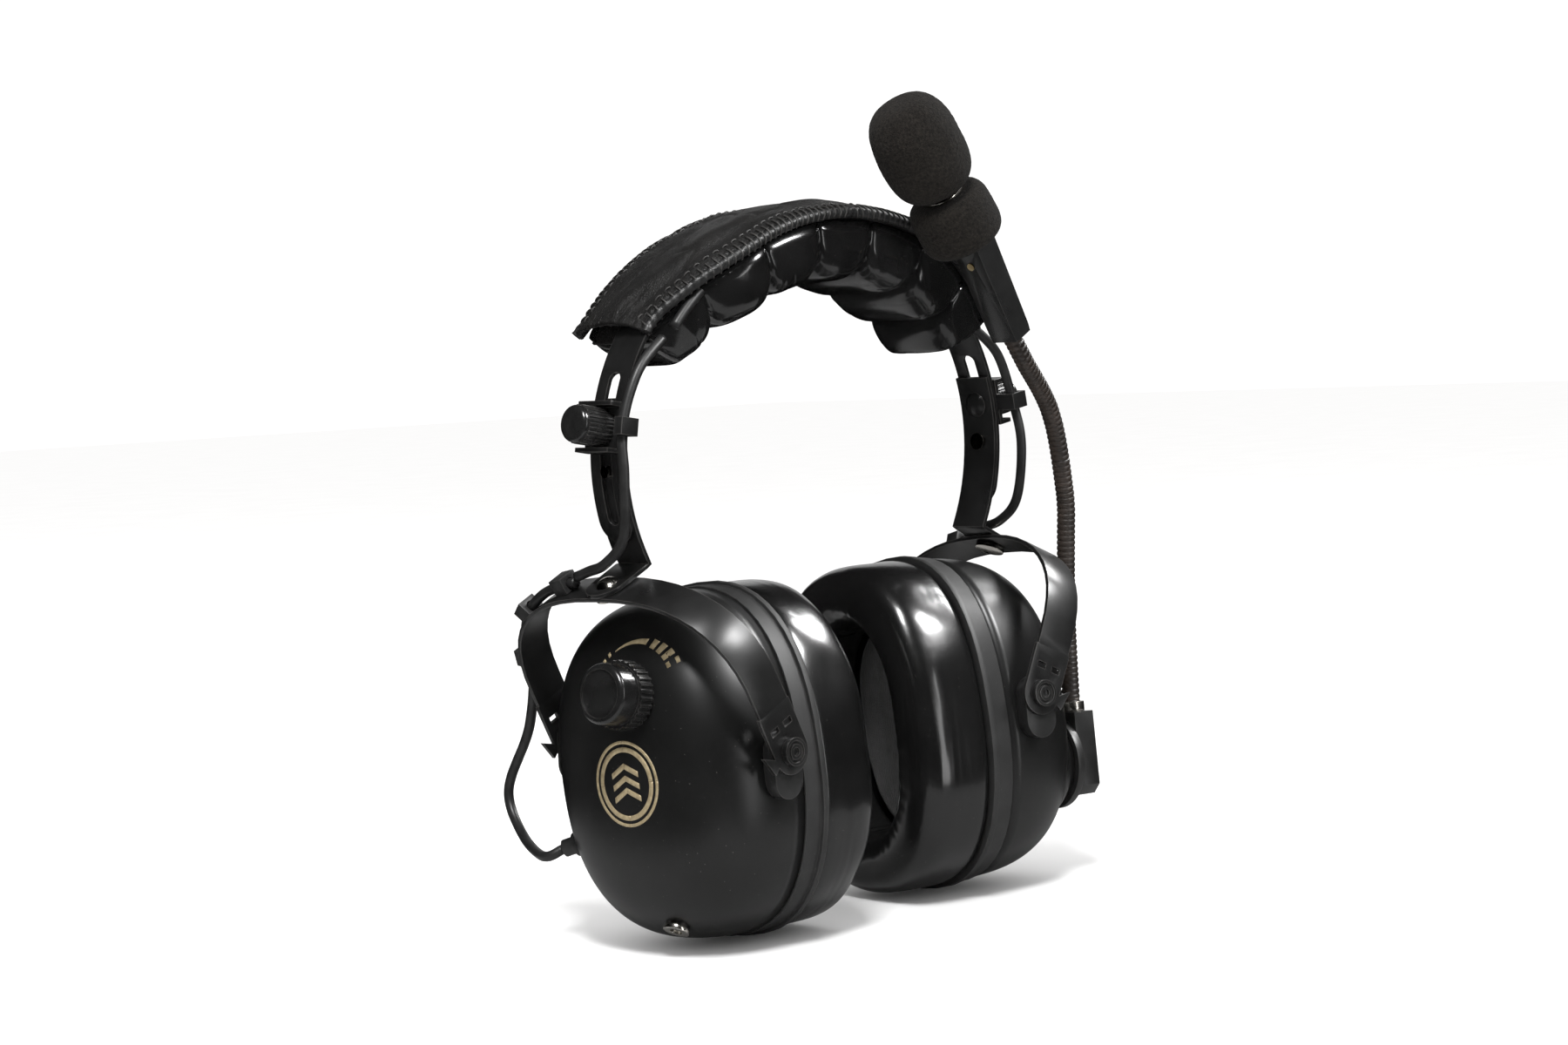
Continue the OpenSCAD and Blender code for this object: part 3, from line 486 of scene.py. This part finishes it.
# ---------- CAD nodes that stay ----------
def smoothing_tree(limit):
    """Geometry nodes that shade edges flatter than the limit smoothly."""
    tree = bpy.data.node_groups.new("weld_and_smooth", "GeometryNodeTree")
    tree.interface.new_socket("Geometry", in_out="INPUT", socket_type="NodeSocketGeometry")
    tree.interface.new_socket("Geometry", in_out="OUTPUT", socket_type="NodeSocketGeometry")
    start = tree.nodes.new("NodeGroupInput")
    faces = tree.nodes.new("GeometryNodeSetShadeSmooth")
    edges = tree.nodes.new("GeometryNodeSetShadeSmooth")
    edges.domain = "EDGE"
    edges.inputs["Shade Smooth"].default_value = False
    angle = tree.nodes.new("GeometryNodeInputMeshEdgeAngle")
    sharp = tree.nodes.new("FunctionNodeCompare")
    sharp.inputs["B"].default_value = math.radians(limit)
    end = tree.nodes.new("NodeGroupOutput")
    tree.links.new(start.outputs[0], faces.inputs["Geometry"])
    tree.links.new(faces.outputs["Geometry"], edges.inputs["Geometry"])
    tree.links.new(angle.outputs["Unsigned Angle"], sharp.inputs["A"])
    tree.links.new(sharp.outputs["Result"], edges.inputs["Selection"])
    tree.links.new(edges.outputs["Geometry"], end.inputs[0])
    return tree


def finish_cad_nodes():
    """Gives each CAD node its material, a small rounding of its edges (widths in mm) and smooth shading."""
    tree = smoothing_tree(32)
    widths = {"black_enamel": 0.16, "knob_plastic": 0.12, "clip_plastic": 0.25, "mount_plastic": 0.3,
              "mic_plastic": 0.35, "nickel": 0.15, "flange_plastic": 0.25, "grommet_rubber": 0.3}
    for name, obj in frame["nodes"].items():
        mesh = obj.data
        kind = mesh.materials[0].name
        mesh.materials.clear()
        mesh.materials.append(LOOKS[kind])
        if "custom_normal" in mesh.attributes:
            mesh.attributes.remove(mesh.attributes["custom_normal"])
        edges = mesh.attributes.get("sharp_edge")
        if edges:
            mesh.attributes.remove(edges)
        mesh.shade_smooth()
        weld = obj.modifiers.new("weld", "WELD")
        weld.merge_threshold = 0.000002
        if kind in widths and not name.endswith("knob"):
            round_off = obj.modifiers.new("round_edges", "BEVEL")
            round_off.limit_method = "ANGLE"
            round_off.angle_limit = math.radians(40)
            round_off.width = widths[kind] * MM
            round_off.segments = 2
        smooth = obj.modifiers.new("smooth", "NODES")
        smooth.node_group = tree


# ---------- ear cups ----------
def lathe(profile, place, sides=48):
    """Solid turned about its z axis from (radius, height) pairs."""
    angle = np.linspace(0, 2 * math.pi, sides, endpoint=False)
    rings = [np.column_stack([r * np.cos(angle), r * np.sin(angle), np.full(sides, h)]) for r, h in profile]
    points, faces = skin(rings)
    return placed(place, points), faces


def outward(x, y, z):
    return Matrix.Translation((x, y, z)) @ Matrix.Rotation(math.radians(90), 4, "Y")


def make_dome(side):
    """Domed shell of a cup; the left one also carries the seat of the boom."""
    start = math.degrees(math.asin((FLANGE_D / DOME_D) ** (DOME_POWER / 2)))
    count, steps = 160, 56
    rings = [oval_ring(FLANGE_D + 0.2, 3.2, count), oval_ring(FLANGE_D + 0.1, 1.4, count)]
    for k in range(steps):
        g = math.radians(start + (90 - start) * (k / (steps - 0.5)) ** 0.8)
        f, d = math.cos(g) ** (2 / DOME_POWER), DOME_D * math.sin(g) ** (2 / DOME_POWER)
        rings.append(oval_ring(d, 0, count, ((HALF_W - 1) * f, (HALF_H - 1) * f)))
    points, faces = skin(rings)
    parts = [(placed(CUP[side], points), faces)]
    if side == "left":
        seat = [(0.1, 33), (18, 33), (16.4, 38.5), (14.6, 40.6), (13.7, 41.8), (13.4, 42.9),
                (13.0, BOOM_SEAT), (0.1, BOOM_SEAT)]
        parts.append(lathe(seat, CUP[side] @ outward(0, *BOOM_AT)))
    points, faces = join(parts)
    shell = add_mesh(side + "_dome", points, faces, LOOKS["gloss_shell"], side + "_cup")
    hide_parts(side + "_cup_shell")


def print_shape(name, outlines):
    """Thin printed marks laid on the right dome: each outline is a grid of (y, z) points."""
    parts = []
    for grid in outlines:
        grid = np.asarray(grid, float)
        m, n = grid.shape[:2]
        layers = []
        for lift in (-0.08, 0.1):
            layers.append(np.array([[dome_x(y, z, lift), y, z] for y, z in grid.reshape(-1, 2)]))
        points = np.vstack(layers)
        count = m * n
        faces = []
        for j in range(m - 1):
            for k in range(n - 1):
                a = j * n + k
                quad = (a, a + 1, a + n + 1, a + n)
                faces += [quad[::-1], tuple(count + q for q in quad)]
        rim = list(range(n)) + [j * n + n - 1 for j in range(1, m)]
        rim += [(m - 1) * n + k for k in range(n - 2, -1, -1)] + [j * n for j in range(m - 2, 0, -1)]
        faces += [(a, b, count + b, count + a) for a, b in zip(rim, rim[1:] + rim[:1])]
        parts.append((points, faces))
    points, faces = join(parts)
    add_mesh(name, placed(CUP["right"], points), faces, PRINT, "right_cup")


def ring_point(centre, r, a):
    """Point on a ring, its angle in radians from the cup's up, turning to its front."""
    return centre[0] - r * math.sin(a), centre[1] + r * math.cos(a)


def arc_block(centre, inner, outer, first, last, steps=8):
    """Grid over a piece of a ring, from one angle to another in degrees."""
    angles = np.radians(np.linspace(first, last, steps + 1))
    return [[ring_point(centre, r, a) for r in (inner, outer)] for a in angles]


def chevron_arm(centre, row, hand, reach=5.2, peak=1.6, drop=2.6, half_line=0.8):
    """Grid over one half of a chevron, which falls outwards from its peak."""
    grid = []
    for t in np.linspace(0, 1, 6):
        y, z = centre[0] + hand * t * reach, centre[1] + row + peak - drop * t
        grid.append([(y, z - half_line), (y, z + half_line)])
    return grid


def make_prints():
    # Badge: two plain rings round three stacked chevrons
    centre = (-4.5, -2.0)
    badge = []
    for inner, outer in ((11.2, 12.1), (8.9, 10.3)):
        badge += [arc_block(centre, inner, outer, a, a + 90, 16) for a in (0, 90, 180, 270)]
    badge += [chevron_arm(centre, row, hand) for row in (-3.4, 0.0, 3.4) for hand in (-1, 1)]
    print_shape("cup_badge", badge)
    # Volume scale: small ticks, an arc that swells and four large blocks round the knob
    low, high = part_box("volume_knob")
    middle = CUP["right"].inverted() @ ((low + high) * 500)
    knob = (middle.y, middle.z)
    small, large = enumerate((-55, -46, -37)), enumerate((28, 39, 50, 61))
    scale_r = 13.6
    ticks = [arc_block(knob, scale_r, 14.5 + 0.25 * k, a - 1.8, a + 1.8, 2) for k, a in small]
    swell = [(t, math.radians(-28 + 46 * t)) for t in np.linspace(0, 1, 13)]
    ticks.append([[ring_point(knob, r, a) for r in (scale_r, 14.0 + 1.2 * t)] for t, a in swell])
    ticks += [arc_block(knob, scale_r - 0.3, 15.6 + 0.3 * k, a - 3.5, a + 3.5, 3) for k, a in large]
    print_shape("volume_scale", ticks)


def seal_profile():
    """Closed outline of the ear seal: (distance from the lip, inset) points."""
    corners = [(-1.2, 3.0), (-1.6, 1.4), (-4.0, 0.7), (-10, 0.5), (-16.5, 0.7), (-20.8, 1.7),
               (-23.6, 3.9), (-24.9, 7.4), (-25.2, 11.2), (-24.4, 14.8), (-22.2, 17.4), (-18.6, 18.9),
               (-14, 19.4), (-9, 19.3), (-5.6, 18.4), (-5.0, 12), (-1.4, 10)]
    line = smooth_path([(x, i, 0) for x, i in corners], 0.9)
    return line[:, :2]


def make_seal(side):
    """Ear seal with the puffiness and wrinkles of soft vinyl."""
    outline = seal_profile()
    count = 260
    rings = np.array([oval_ring(x, inset, count) for x, inset in outline])
    core = oval_ring(-13.0, 10, count)
    shift = 3.0 if side == "left" else 7.0
    for j, (x, inset) in enumerate(outline):
        soft = limited((-x - 2.5) / 8)
        inner = limited((inset - 9) / 8)
        for k in range(count):
            p = rings[j, k]
            t = 2 * math.pi * k / count
            away = p - core[k]
            away /= max(1e-6, np.linalg.norm(away))
            swell = 0.55 * wave(*p, 24, shift) + 0.22 * wave(*p, 11, shift)
            run = 60 * math.sin(t) + 25 * math.cos(3 * t)
            line = wave(run / 30, x / 2.2, inset / 2.2, 1, shift)
            crease = -0.32 * math.exp(-(line / 0.09) ** 2) * max(0, wave(*p, 26, shift + 4) + 0.15)
            pucker = 0.22 * inner * wave(math.degrees(t) / 3.2, 0.6 * x / 6, 0, 1, shift)
            rings[j, k] = p + away * soft * (swell + crease * (0.5 + inner) + pucker)
    points, faces = skin(rings, closed_rows=True)
    seal = add_mesh(side + "_seal", placed(CUP[side], points), faces, LOOKS["seal_vinyl"],
                    side + "_cup")
    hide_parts(side + "_ear_seal")


def make_ear_cloth(side):
    """Cloth-covered foam that closes the ear opening over the speaker."""
    count = 96
    inset = SEAL_RING + 0.6
    rings = [oval_ring(level, inset, count) for level in (-1.9, -4.0)]
    for f in np.linspace(0.98, 0.02, 22):
        half = ((HALF_W - inset) * f, (HALF_H - inset) * f)
        ring = oval_ring(-5.0 - 0.9 * (1 - f ** 2.5), 0, count, half)
        for p in ring:
            p[0] += 0.5 * wave(*p, 9, 2.0) + 0.15 * wave(*p, 3, 5.0)
        rings.append(ring)
    points, faces = skin(rings)
    cloth = add_mesh(side + "_ear_cloth", placed(CUP[side], points), faces, MESH_CLOTH, side + "_cup")
    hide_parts(side + "_ear_foam")


def make_flange_groove(side):
    """Rubber gasket in the groove between lip and seal."""
    turns = np.linspace(0, 2 * math.pi, 14, endpoint=False)
    rings = [oval_ring(-1.6 + 0.7 * math.cos(t), 3.2 + 1.4 * math.sin(t), 160) for t in turns]
    points, faces = skin(rings, closed_rows=True)
    add_mesh(side + "_gasket", placed(CUP[side], points), faces, LOOKS["grommet_rubber"],
             side + "_cup")


# ---------- head pad ----------
def cover_outline():
    """Section of the pad's cover: (y, lift) round its outer face and back along its lining."""
    outer = [(-20.4, -0.9), (-21.3, 0.2), (-21.4, 1.4), (-20.8, 2.5), (-19, 3.3), (-15, 4.0), (-8, 4.6),
             (0, 4.8)]
    inner = [(0, 3.5), (-8, 3.3), (-15, 2.7), (-18.6, 1.9), (-19.7, 1.0), (-19.8, 0), (-19.5, -0.8)]
    outer = smooth_path([(y, h, 0) for y, h in outer], 0.75)[:, :2]
    inner = smooth_path([(y, h, 0) for y, h in inner], 1.5)[:, :2]
    mirror = np.array([-1, 1])
    return np.vstack([outer, outer[-2::-1] * mirror, (inner * mirror)[::-1], inner[1:]])


def cover_point(a, y, h):
    """A point of the cover with its puckers, sagging ends and pointed rear corners; y is at full width."""
    end = max(0.0, (abs(a) - 45) / 8)
    top = limited((h - 1) / 3)
    s = math.copysign(band_length(abs(a)), a)
    dent = 0.75 * wave(s, 1.6 * y, 0, 21, 2.0) + 0.34 * wave(s, y, 0, 8, 5.0)
    ridge = 0.8 * math.exp(-((y + 7 + 0.05 * s) / 4.5) ** 2) - 0.9 * math.exp(-((y + 12.5) / 3) ** 2)
    fold = -0.45 * math.exp(-(wave(s / 24, y / 8, 0, 1, 9.0) / 0.07) ** 2)
    rise = top * (dent + ridge * (1 - end) + fold)
    edge = limited((abs(y) - 12) / 9)
    flare = end * end * edge * (2.2 if y > 0 else 1.0)
    front, rear = pad_edges(a)
    wide = (front + rear) / 2 + (rear - front) / 2 / PAD_HALF * y + math.copysign(flare, y)
    return band_point(a + math.copysign(1.2 * end * edge, a), wide, h + rise - 0.8 * end * end * edge * top)


def pillow_ring(a, count=120):
    """Section of the quilted cushion at angle a."""
    u = (a + PILLOW_END) / (2 * PILLOW_END) * LOBES
    lobe = min(LOBES - 1, int(u))
    u -= lobe
    swell = max(0.0, 1 - abs(2 * u - 1) ** 3.2) ** (1 / 2.2)
    outer_u = u if lobe == 0 else 1 - u
    tip = min(1.0, outer_u * 5) ** 0.5 if lobe in (0, LOBES - 1) else 1.0
    shallow, deep = 4.5, 19
    bottom = -(shallow + (deep - shallow) * (0.5 + 0.5 * swell) * (0.45 + 0.55 * tip))
    front, rear = pad_edges(a)
    middle, half = (front + rear) / 2, (rear - front) / 2 - 1.8 + 1.5 * swell
    near_seam = math.exp(-(min(u, 1 - u) / 0.14) ** 2)
    ring = []
    s = math.copysign(band_length(abs(a)), a)
    for k in range(count):
        t = 2 * math.pi * k / count
        cy, cz = power(math.cos(t), 0.42), power(math.sin(t), 0.5)
        under = limited(-math.sin(t) * 2)
        bulge = 0.55 * wave(s, half * cy, 9 * cz, 12, lobe * 3.7)
        crease = -0.4 * math.exp(-(wave(s / 9, cy * 1.6, cz, 1, lobe * 2.3) / 0.07) ** 2)
        crease *= max(0.0, wave(s, half * cy, 9 * cz, 14, lobe + 20.0) + 0.1)
        gather = 0.45 * near_seam * wave(t * 4, s / 12, 0, 1, lobe + 5.0)
        push = (bulge + crease + gather) * under
        if cz > 0:
            lift = -1.2 - 3.4 * (1 - abs(cy) ** 6) * cz
        else:
            lift = -1.2 + (bottom + 1.2 - push) * -cz
        ring.append(band_point(a, middle + (half + push) * cy, lift))
    return ring


def halves(name, points, faces, look):
    """Cuts a pad mesh in two at the middle plane and bakes each half's placement into its mesh.

    Both halves keep the smooth shading of the whole.
    """
    whole = add_mesh(name, points, faces, look)
    normals = np.array([v.vector[:] for v in whole.data.vertex_normals])
    co = np.array([v.co[:] for v in whole.data.vertices])
    sides_x = [(list(f.vertices), co[list(f.vertices), 0].mean()) for f in whole.data.polygons]
    made = []
    for side, sign in SIGNS:
        keep = [face for face, x in sides_x if sign * x > 0 or (abs(x) < 1e-9 and sign > 0)]
        used = sorted({v for f in keep for v in f})
        number = {v: k for k, v in enumerate(used)}
        half = add_mesh(f"{side}_{name}", co[used] * 1000, [[number[v] for v in f] for f in keep], look,
                        outside=False)
        half.data.normals_split_custom_set_from_vertices(normals[used].tolist())
        bend_half(half)
        made.append(half)
    bpy.data.objects.remove(whole)
    return made


def bend_half(obj):
    """Bakes the placement of a piece of the pad into its mesh."""
    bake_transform(obj)


def make_pad():
    steps = np.linspace(-COVER_END, COVER_END, 191)
    outline = cover_outline()
    rings = np.array([[cover_point(a, y, h) for y, h in outline] for a in steps])
    points, faces = skin(rings)
    for half, side in zip(halves("pad_cover", points, faces, LOOKS["leatherette"]), SIDES):
        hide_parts("head_pad_cover")

    steps = np.linspace(-PILLOW_END, PILLOW_END, LOBES * 36 + 1)
    rings = np.array([pillow_ring(a) for a in steps])
    points, faces = skin(rings)
    for half, side in zip(halves("pad_cushion", points, faces, LOOKS["pad_vinyl"]), SIDES):
        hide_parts("head_pad_cushion")

    for side, sign in SIGNS:
        make_binding(side, sign)
        make_lining(side, sign)
        path = [band_point(sign * a, -12, -2.8) for a in np.linspace(0, PAD_END - 5, 40)]
        points, faces = skin(tube(path, CABLE_R))
        cable = add_mesh(side + "_crown_cable", points, faces, LOOKS["cable_rubber"])
        bend_half(cable)
        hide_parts("crown_cable")


def make_lining(side, sign):
    """The sleeve's lower sheet, which shows as a wavy lip under the band at the pad's open end."""
    rings = []
    for a in np.linspace(38, COVER_END + 1.2, 40):
        front, rear = pad_edges(sign * a)
        y = np.linspace(front + 1.5, rear - 1.5, 60)
        free = max(0.0, (a - 46) / 8)
        sag = [-2.2 - 0.9 * free * (1 + wave(v, a * 0.4, sign, 9, 6.0)) for v in y]
        upper = [band_point(sign * a, v, d) for v, d in zip(y, sag)]
        lower = [band_point(sign * a, v, d - 0.8) for v, d in zip(y, sag)]
        rings.append(upper + lower[::-1])
    points, faces = skin(np.array(rings))
    lining = add_mesh(side + "_pad_lining", points, faces, LOOKS["leatherette"])
    bend_half(lining)


def make_binding(side, sign):
    """Corded edge, whipped with thread, and a row of stitches along the cover's front and rear."""
    cords, stitches = [], []
    for face in (-1, 1):
        angles = np.linspace(0, COVER_END, 260)
        path = np.array([cover_point(sign * a, face * 21.1, 1.0) for a in angles])
        along = np.array([band_length(a) for a in angles])
        sides = 14
        t = np.linspace(0, 2 * math.pi, sides, endpoint=False)
        radius = 1.55 + 0.10 * np.sin(2 * math.pi * along[:, None] / 2.3 + t[None, :]) \
            + 0.06 * np.array([wave(s, 0, 0, 3, 3.0) for s in along])[:, None]
        cords.append(skin(tube(path, radius, sides)))
        total = band_length(COVER_END)
        for s in np.arange(1.2, total - 1.5, 2.3):
            a = np.interp(s, along, angles)
            b = np.interp(s + 1.5, along, angles)
            arc = [cover_point(sign * (a + (b - a) * f), face * y, h) for f, y, h in
                   ((0, 18.9, 3.5), (0.25, 20.4, 3.2), (0.5, 22.0, 2.4), (0.75, 22.85, 0.9), (1, 22.1, -0.6))]
            stitches.append(skin(tube(smooth_path(arc, 0.55), 0.3, 6)))
        for s in np.arange(1.5, total - 2, 3.1):
            a = np.interp(s, along, angles)
            b = np.interp(s + 2.1, along, angles)
            run = [np.array(cover_point(sign * (a + (b - a) * f), face * 16.9, h)) for f, h in
                   ((0, 3.3), (0.2, 3.95), (0.5, 4.1), (0.8, 3.95), (1, 3.3))]
            stitches.append(skin(tube(run, 0.27, 6)))
    points, faces = join(cords)
    cord = add_mesh(side + "_pad_binding", points, faces, BINDING)
    bend_half(cord)
    points, faces = join(stitches)
    thread = add_mesh(side + "_pad_stitching", points, faces, THREAD)
    bend_half(thread)


# ---------- cables, gooseneck and muffs ----------
def cable_line(node):
    """Middle line of a CAD cable, from its upper end down."""
    line = centre_line(node)
    return line if line[0][2] > line[-1][2] else line[::-1]


def make_cable(name, node, line):
    """Cord in a CAD cable's place, along its middle line from one end to the other."""
    path = smooth_path(line, 0.9)
    points, faces = skin(tube(path, [CABLE_R + 0.04 * wave(*p, 6) for p in path], 20))
    cable = add_mesh(name, points, faces, LOOKS["cable_rubber"])
    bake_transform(cable)
    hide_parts(node)


def make_cables():
    for side in SIDES:
        node = side + "_upper_cable"
        line = cable_line(node)
        make_cable(side + "_clamp_cable", node, line)
        node = side + "_lower_cable"
        line = cable_line(node)
        make_cable(side + "_cup_cable", node, line)


def make_gooseneck():
    """Ribbed sleeve in two lengths, cut halfway between the two gooseneck joints."""
    parts = [centre_line("gooseneck_" + n) for n in ("lower", "middle", "upper")]
    parts = [p if p[0][2] < p[-1][2] else p[::-1] for p in parts]
    step, pitch, bend_half_length = 0.22, 1.75, 11
    path = smooth_path(np.vstack([parts[0], parts[1][1:], parts[2][1:]]), step)
    s = np.arange(len(path)) * step
    ribs = np.abs(np.sin(math.pi * s / pitch)) ** 0.6
    radius = NECK_R - 0.32 + 0.40 * ribs
    rings = tube(path, radius, 26)
    low, high = (Vector(JOINTS[n]["pos_m"]) for n in ("gooseneck_bend", "gooseneck_bend_top"))
    halfway = (low + high) * 0.5
    cut = int(np.argmin([(Vector(p * MM) - halfway).length for p in path]))
    lengths = (("gooseneck_foot", rings[:cut + 1], ("boom_arm", "boom_middle"), low, ("lower", "middle")),
               ("gooseneck_head", rings[cut:], ("boom_middle", "mic_head"), high, ("middle", "upper")))
    for name, part, bodies, at, nodes in lengths:
        points, faces = skin(part)
        neck = add_mesh(name, points, faces, LOOKS["gooseneck_sleeve"])
        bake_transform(neck)
        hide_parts(*("gooseneck_" + n for n in nodes))


def muff_frame():
    """Axis of the two foam muffs, from the capsule inside them."""
    co = np.array([v.co[:] for v in frame["nodes"]["mic_capsule"].data.vertices]) * 1000
    middle = co.mean(0)
    axes = np.linalg.eigh(np.cov((co - middle).T))[1]
    axis = Vector(axes[:, 2] if axes[2, 2] > 0 else -axes[:, 2])
    side = Vector((0, 1, 0))
    x = side.cross(axis).normalized()
    turn = Matrix((x, side, axis)).transposed().to_4x4()
    along = [float(np.dot(p, axis)) for p in co]
    foot = Vector(middle) - axis * (Vector(middle).dot(axis) - min(along))
    return Matrix.Translation(foot + axis * 5) @ turn


def foam_muff(name, profile, node):
    """Foam turned from a profile, with an uneven skin and open pores."""
    place = muff_frame()
    line = smooth_path([(r, h, 0) for r, h in profile], 0.32)[:, :2]
    middle = (line[:, 1].max() + line[:, 1].min()) / 2
    sides = 200
    angle = np.linspace(0, 2 * math.pi, sides, endpoint=False)
    rings = []
    for r, h in line:
        ring = []
        for t in angle:
            p = Vector((r * math.cos(t), r * math.sin(t), h))
            grow = 0.35 * wave(*p, 9, 1.0) + 0.09 * wave(*p, 1.1, 2.0) + 0.10 * wave(*p, 0.55, 4.0)
            grow *= min(1.0, r / 3)
            scale = 1 + grow / max(4.0, math.hypot(r, h - middle))
            ring.append((p.x * scale, p.y * scale, h + grow * 0.3))
        rings.append(ring)
    points, faces = skin(rings)
    muff = add_mesh(name, placed(place, points), faces, LOOKS["muff_foam"], "mic_head")
    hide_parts(node)


def round_profile(radius, middle, half, side_power, end_power, taper=0.0):
    """Outline of a rounded foam muff, from its lower end to its upper end."""
    out = []
    for a in np.radians(np.arange(-89, 90, 4.0)):
        h = power(math.sin(a), end_power)
        out.append((radius * math.cos(a) ** side_power * (1 + taper * math.sin(a)), middle + half * h))
    return out


def make_muffs():
    foam_muff("foam_cap", round_profile(MUFF_R, 25.0, 15.7, 0.56, 0.76, -0.04), "upper_muff")
    collar = round_profile(MUFF_R * 0.96, -0.3, 8.4, 0.24, 0.55)
    foam_muff("foam_collar", [(0.3, -8.7)] + collar + [(0.3, 8.1)], "lower_muff")


# ---------- studio ----------
def make_studio():
    """White surroundings and a paper floor; only the floor near the headset shows in its gloss."""
    scene = bpy.context.scene
    scene.view_settings.view_transform = "Standard"
    world = bpy.data.worlds.new("studio")
    scene.world = world
    world.use_nodes = True
    background = world.node_tree.nodes["Background"]
    background.inputs["Color"].default_value = (1.0, 0.995, 0.99, 1)
    background.inputs["Strength"].default_value = 1.12
    world.cycles_visibility.glossy = False

    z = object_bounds()[0].z - 0.2 * MM
    paper = surface("paper", grey(0.86), grey(0.88), 0.6, 0.03, [("grain", 1.5, 0.02, 0.1)],
                    tone=60, specular=0.0)
    dim_reflection(paper, 0.3)
    near, far = 0.17, 6.0
    square = ((-1, -1), (1, -1), (1, 1), (-1, 1))
    corners = [(x * size, y * size, z) for size in (near, far) for x, y in square]
    ring = [(i + 4, (i + 1) % 4 + 4, (i + 1) % 4, i) for i in range(4)]
    for name, faces in (("floor", [(0, 1, 2, 3)]), ("floor_around", ring)):
        mesh = bpy.data.meshes.new(name)
        mesh.from_pydata(corners, [], faces)
        mesh.materials.append(paper)
        obj = bpy.data.objects.new(name, mesh)
        obj.visible_glossy = name == "floor"
        scene.collection.objects.link(obj)


def dim_reflection(look, share):
    """Shows a surface darker to reflected rays than to the camera."""
    tree = look.node_tree
    base = next(n for n in tree.nodes if n.type == "BSDF_PRINCIPLED")
    source = base.inputs["Base Color"].links[0].from_socket
    ray = tree.nodes.new("ShaderNodeLightPath")
    mix = tree.nodes.new("ShaderNodeMix")
    mix.data_type = "RGBA"
    tree.links.new(ray.outputs["Is Glossy Ray"], mix.inputs["Factor"])
    tree.links.new(source, mix.inputs["A"])
    mix.inputs["B"].default_value = (share, share, share, 1)
    tree.links.new(mix.outputs["Result"], base.inputs["Base Color"])


HEADSET_MIDDLE = Vector((0, 0, 0.09))


def area_light(name, towards, distance, width, height, watts, diffuse=True, glossy=True):
    """Softbox seen from the headset's middle in a direction, facing it."""
    light = bpy.data.lights.new(name, "AREA")
    light.shape = "RECTANGLE"
    light.size, light.size_y = width, height
    light.energy = watts
    obj = bpy.data.objects.new(name, light)
    direction = Vector(towards).normalized()
    obj.location = HEADSET_MIDDLE + direction * distance
    obj.rotation_euler = direction.to_track_quat("Z", "Y").to_euler()
    obj.visible_camera = False
    obj.visible_diffuse = diffuse
    obj.visible_glossy = glossy
    bpy.context.scene.collection.objects.link(obj)


def make_lights():
    area_light("key_above_left", (-0.43, -0.41, 0.80), 1.2, 0.24, 0.36, 14)
    area_light("above_right", (0.72, -0.18, 0.62), 1.2, 0.30, 0.30, 11, diffuse=False)
    area_light("shoulder", (0.38, -0.62, 0.68), 1.3, 0.40, 0.30, 19, diffuse=False)
    area_light("front_right", (0.15, -0.98, 0.09), 1.4, 0.16, 0.9, 2.4, diffuse=False)
    area_light("top", (0.25, 0.35, 1.0), 1.5, 1.2, 1.2, 3, glossy=False)
    area_light("backdrop", (0.72, 0.68, 0.22), 2.4, 1.6, 1.1, 4, diffuse=False)


def make_camera():
    """View from 45 degrees to the left of the front and slightly above, on a long lens, a little tilted."""
    azimuth, rise, roll = (math.radians(v) for v in (-45.2, 3.3, -2.6))
    aim_right, aim_up, distance = -7.8, 117.3, 910.9
    back = Vector((math.sin(azimuth) * math.cos(rise), -math.cos(azimuth) * math.cos(rise), math.sin(rise)))
    right = Vector((math.cos(azimuth), math.sin(azimuth), 0))
    up = back.cross(right)
    eye = (right * aim_right + Vector((0, 0, aim_up)) + back * distance) * MM
    x = math.cos(roll) * right + math.sin(roll) * up
    y = -math.sin(roll) * right + math.cos(roll) * up
    data = bpy.data.cameras.new("camera")
    data.sensor_width = 36
    data.lens = 70.1
    data.clip_start = 0.05
    camera = bpy.data.objects.new("camera", data)
    camera.matrix_world = Matrix.Translation(eye) @ Matrix((x, y, back)).transposed().to_4x4()
    bpy.context.scene.collection.objects.link(camera)
    bpy.context.scene.camera = camera


finish_cad_nodes()
for cup_side in SIDES:
    make_dome(cup_side)
    make_seal(cup_side)
    make_ear_cloth(cup_side)
    make_flange_groove(cup_side)
make_prints()
make_pad()
make_cables()
make_gooseneck()
make_muffs()
make_studio()
make_lights()
make_camera()
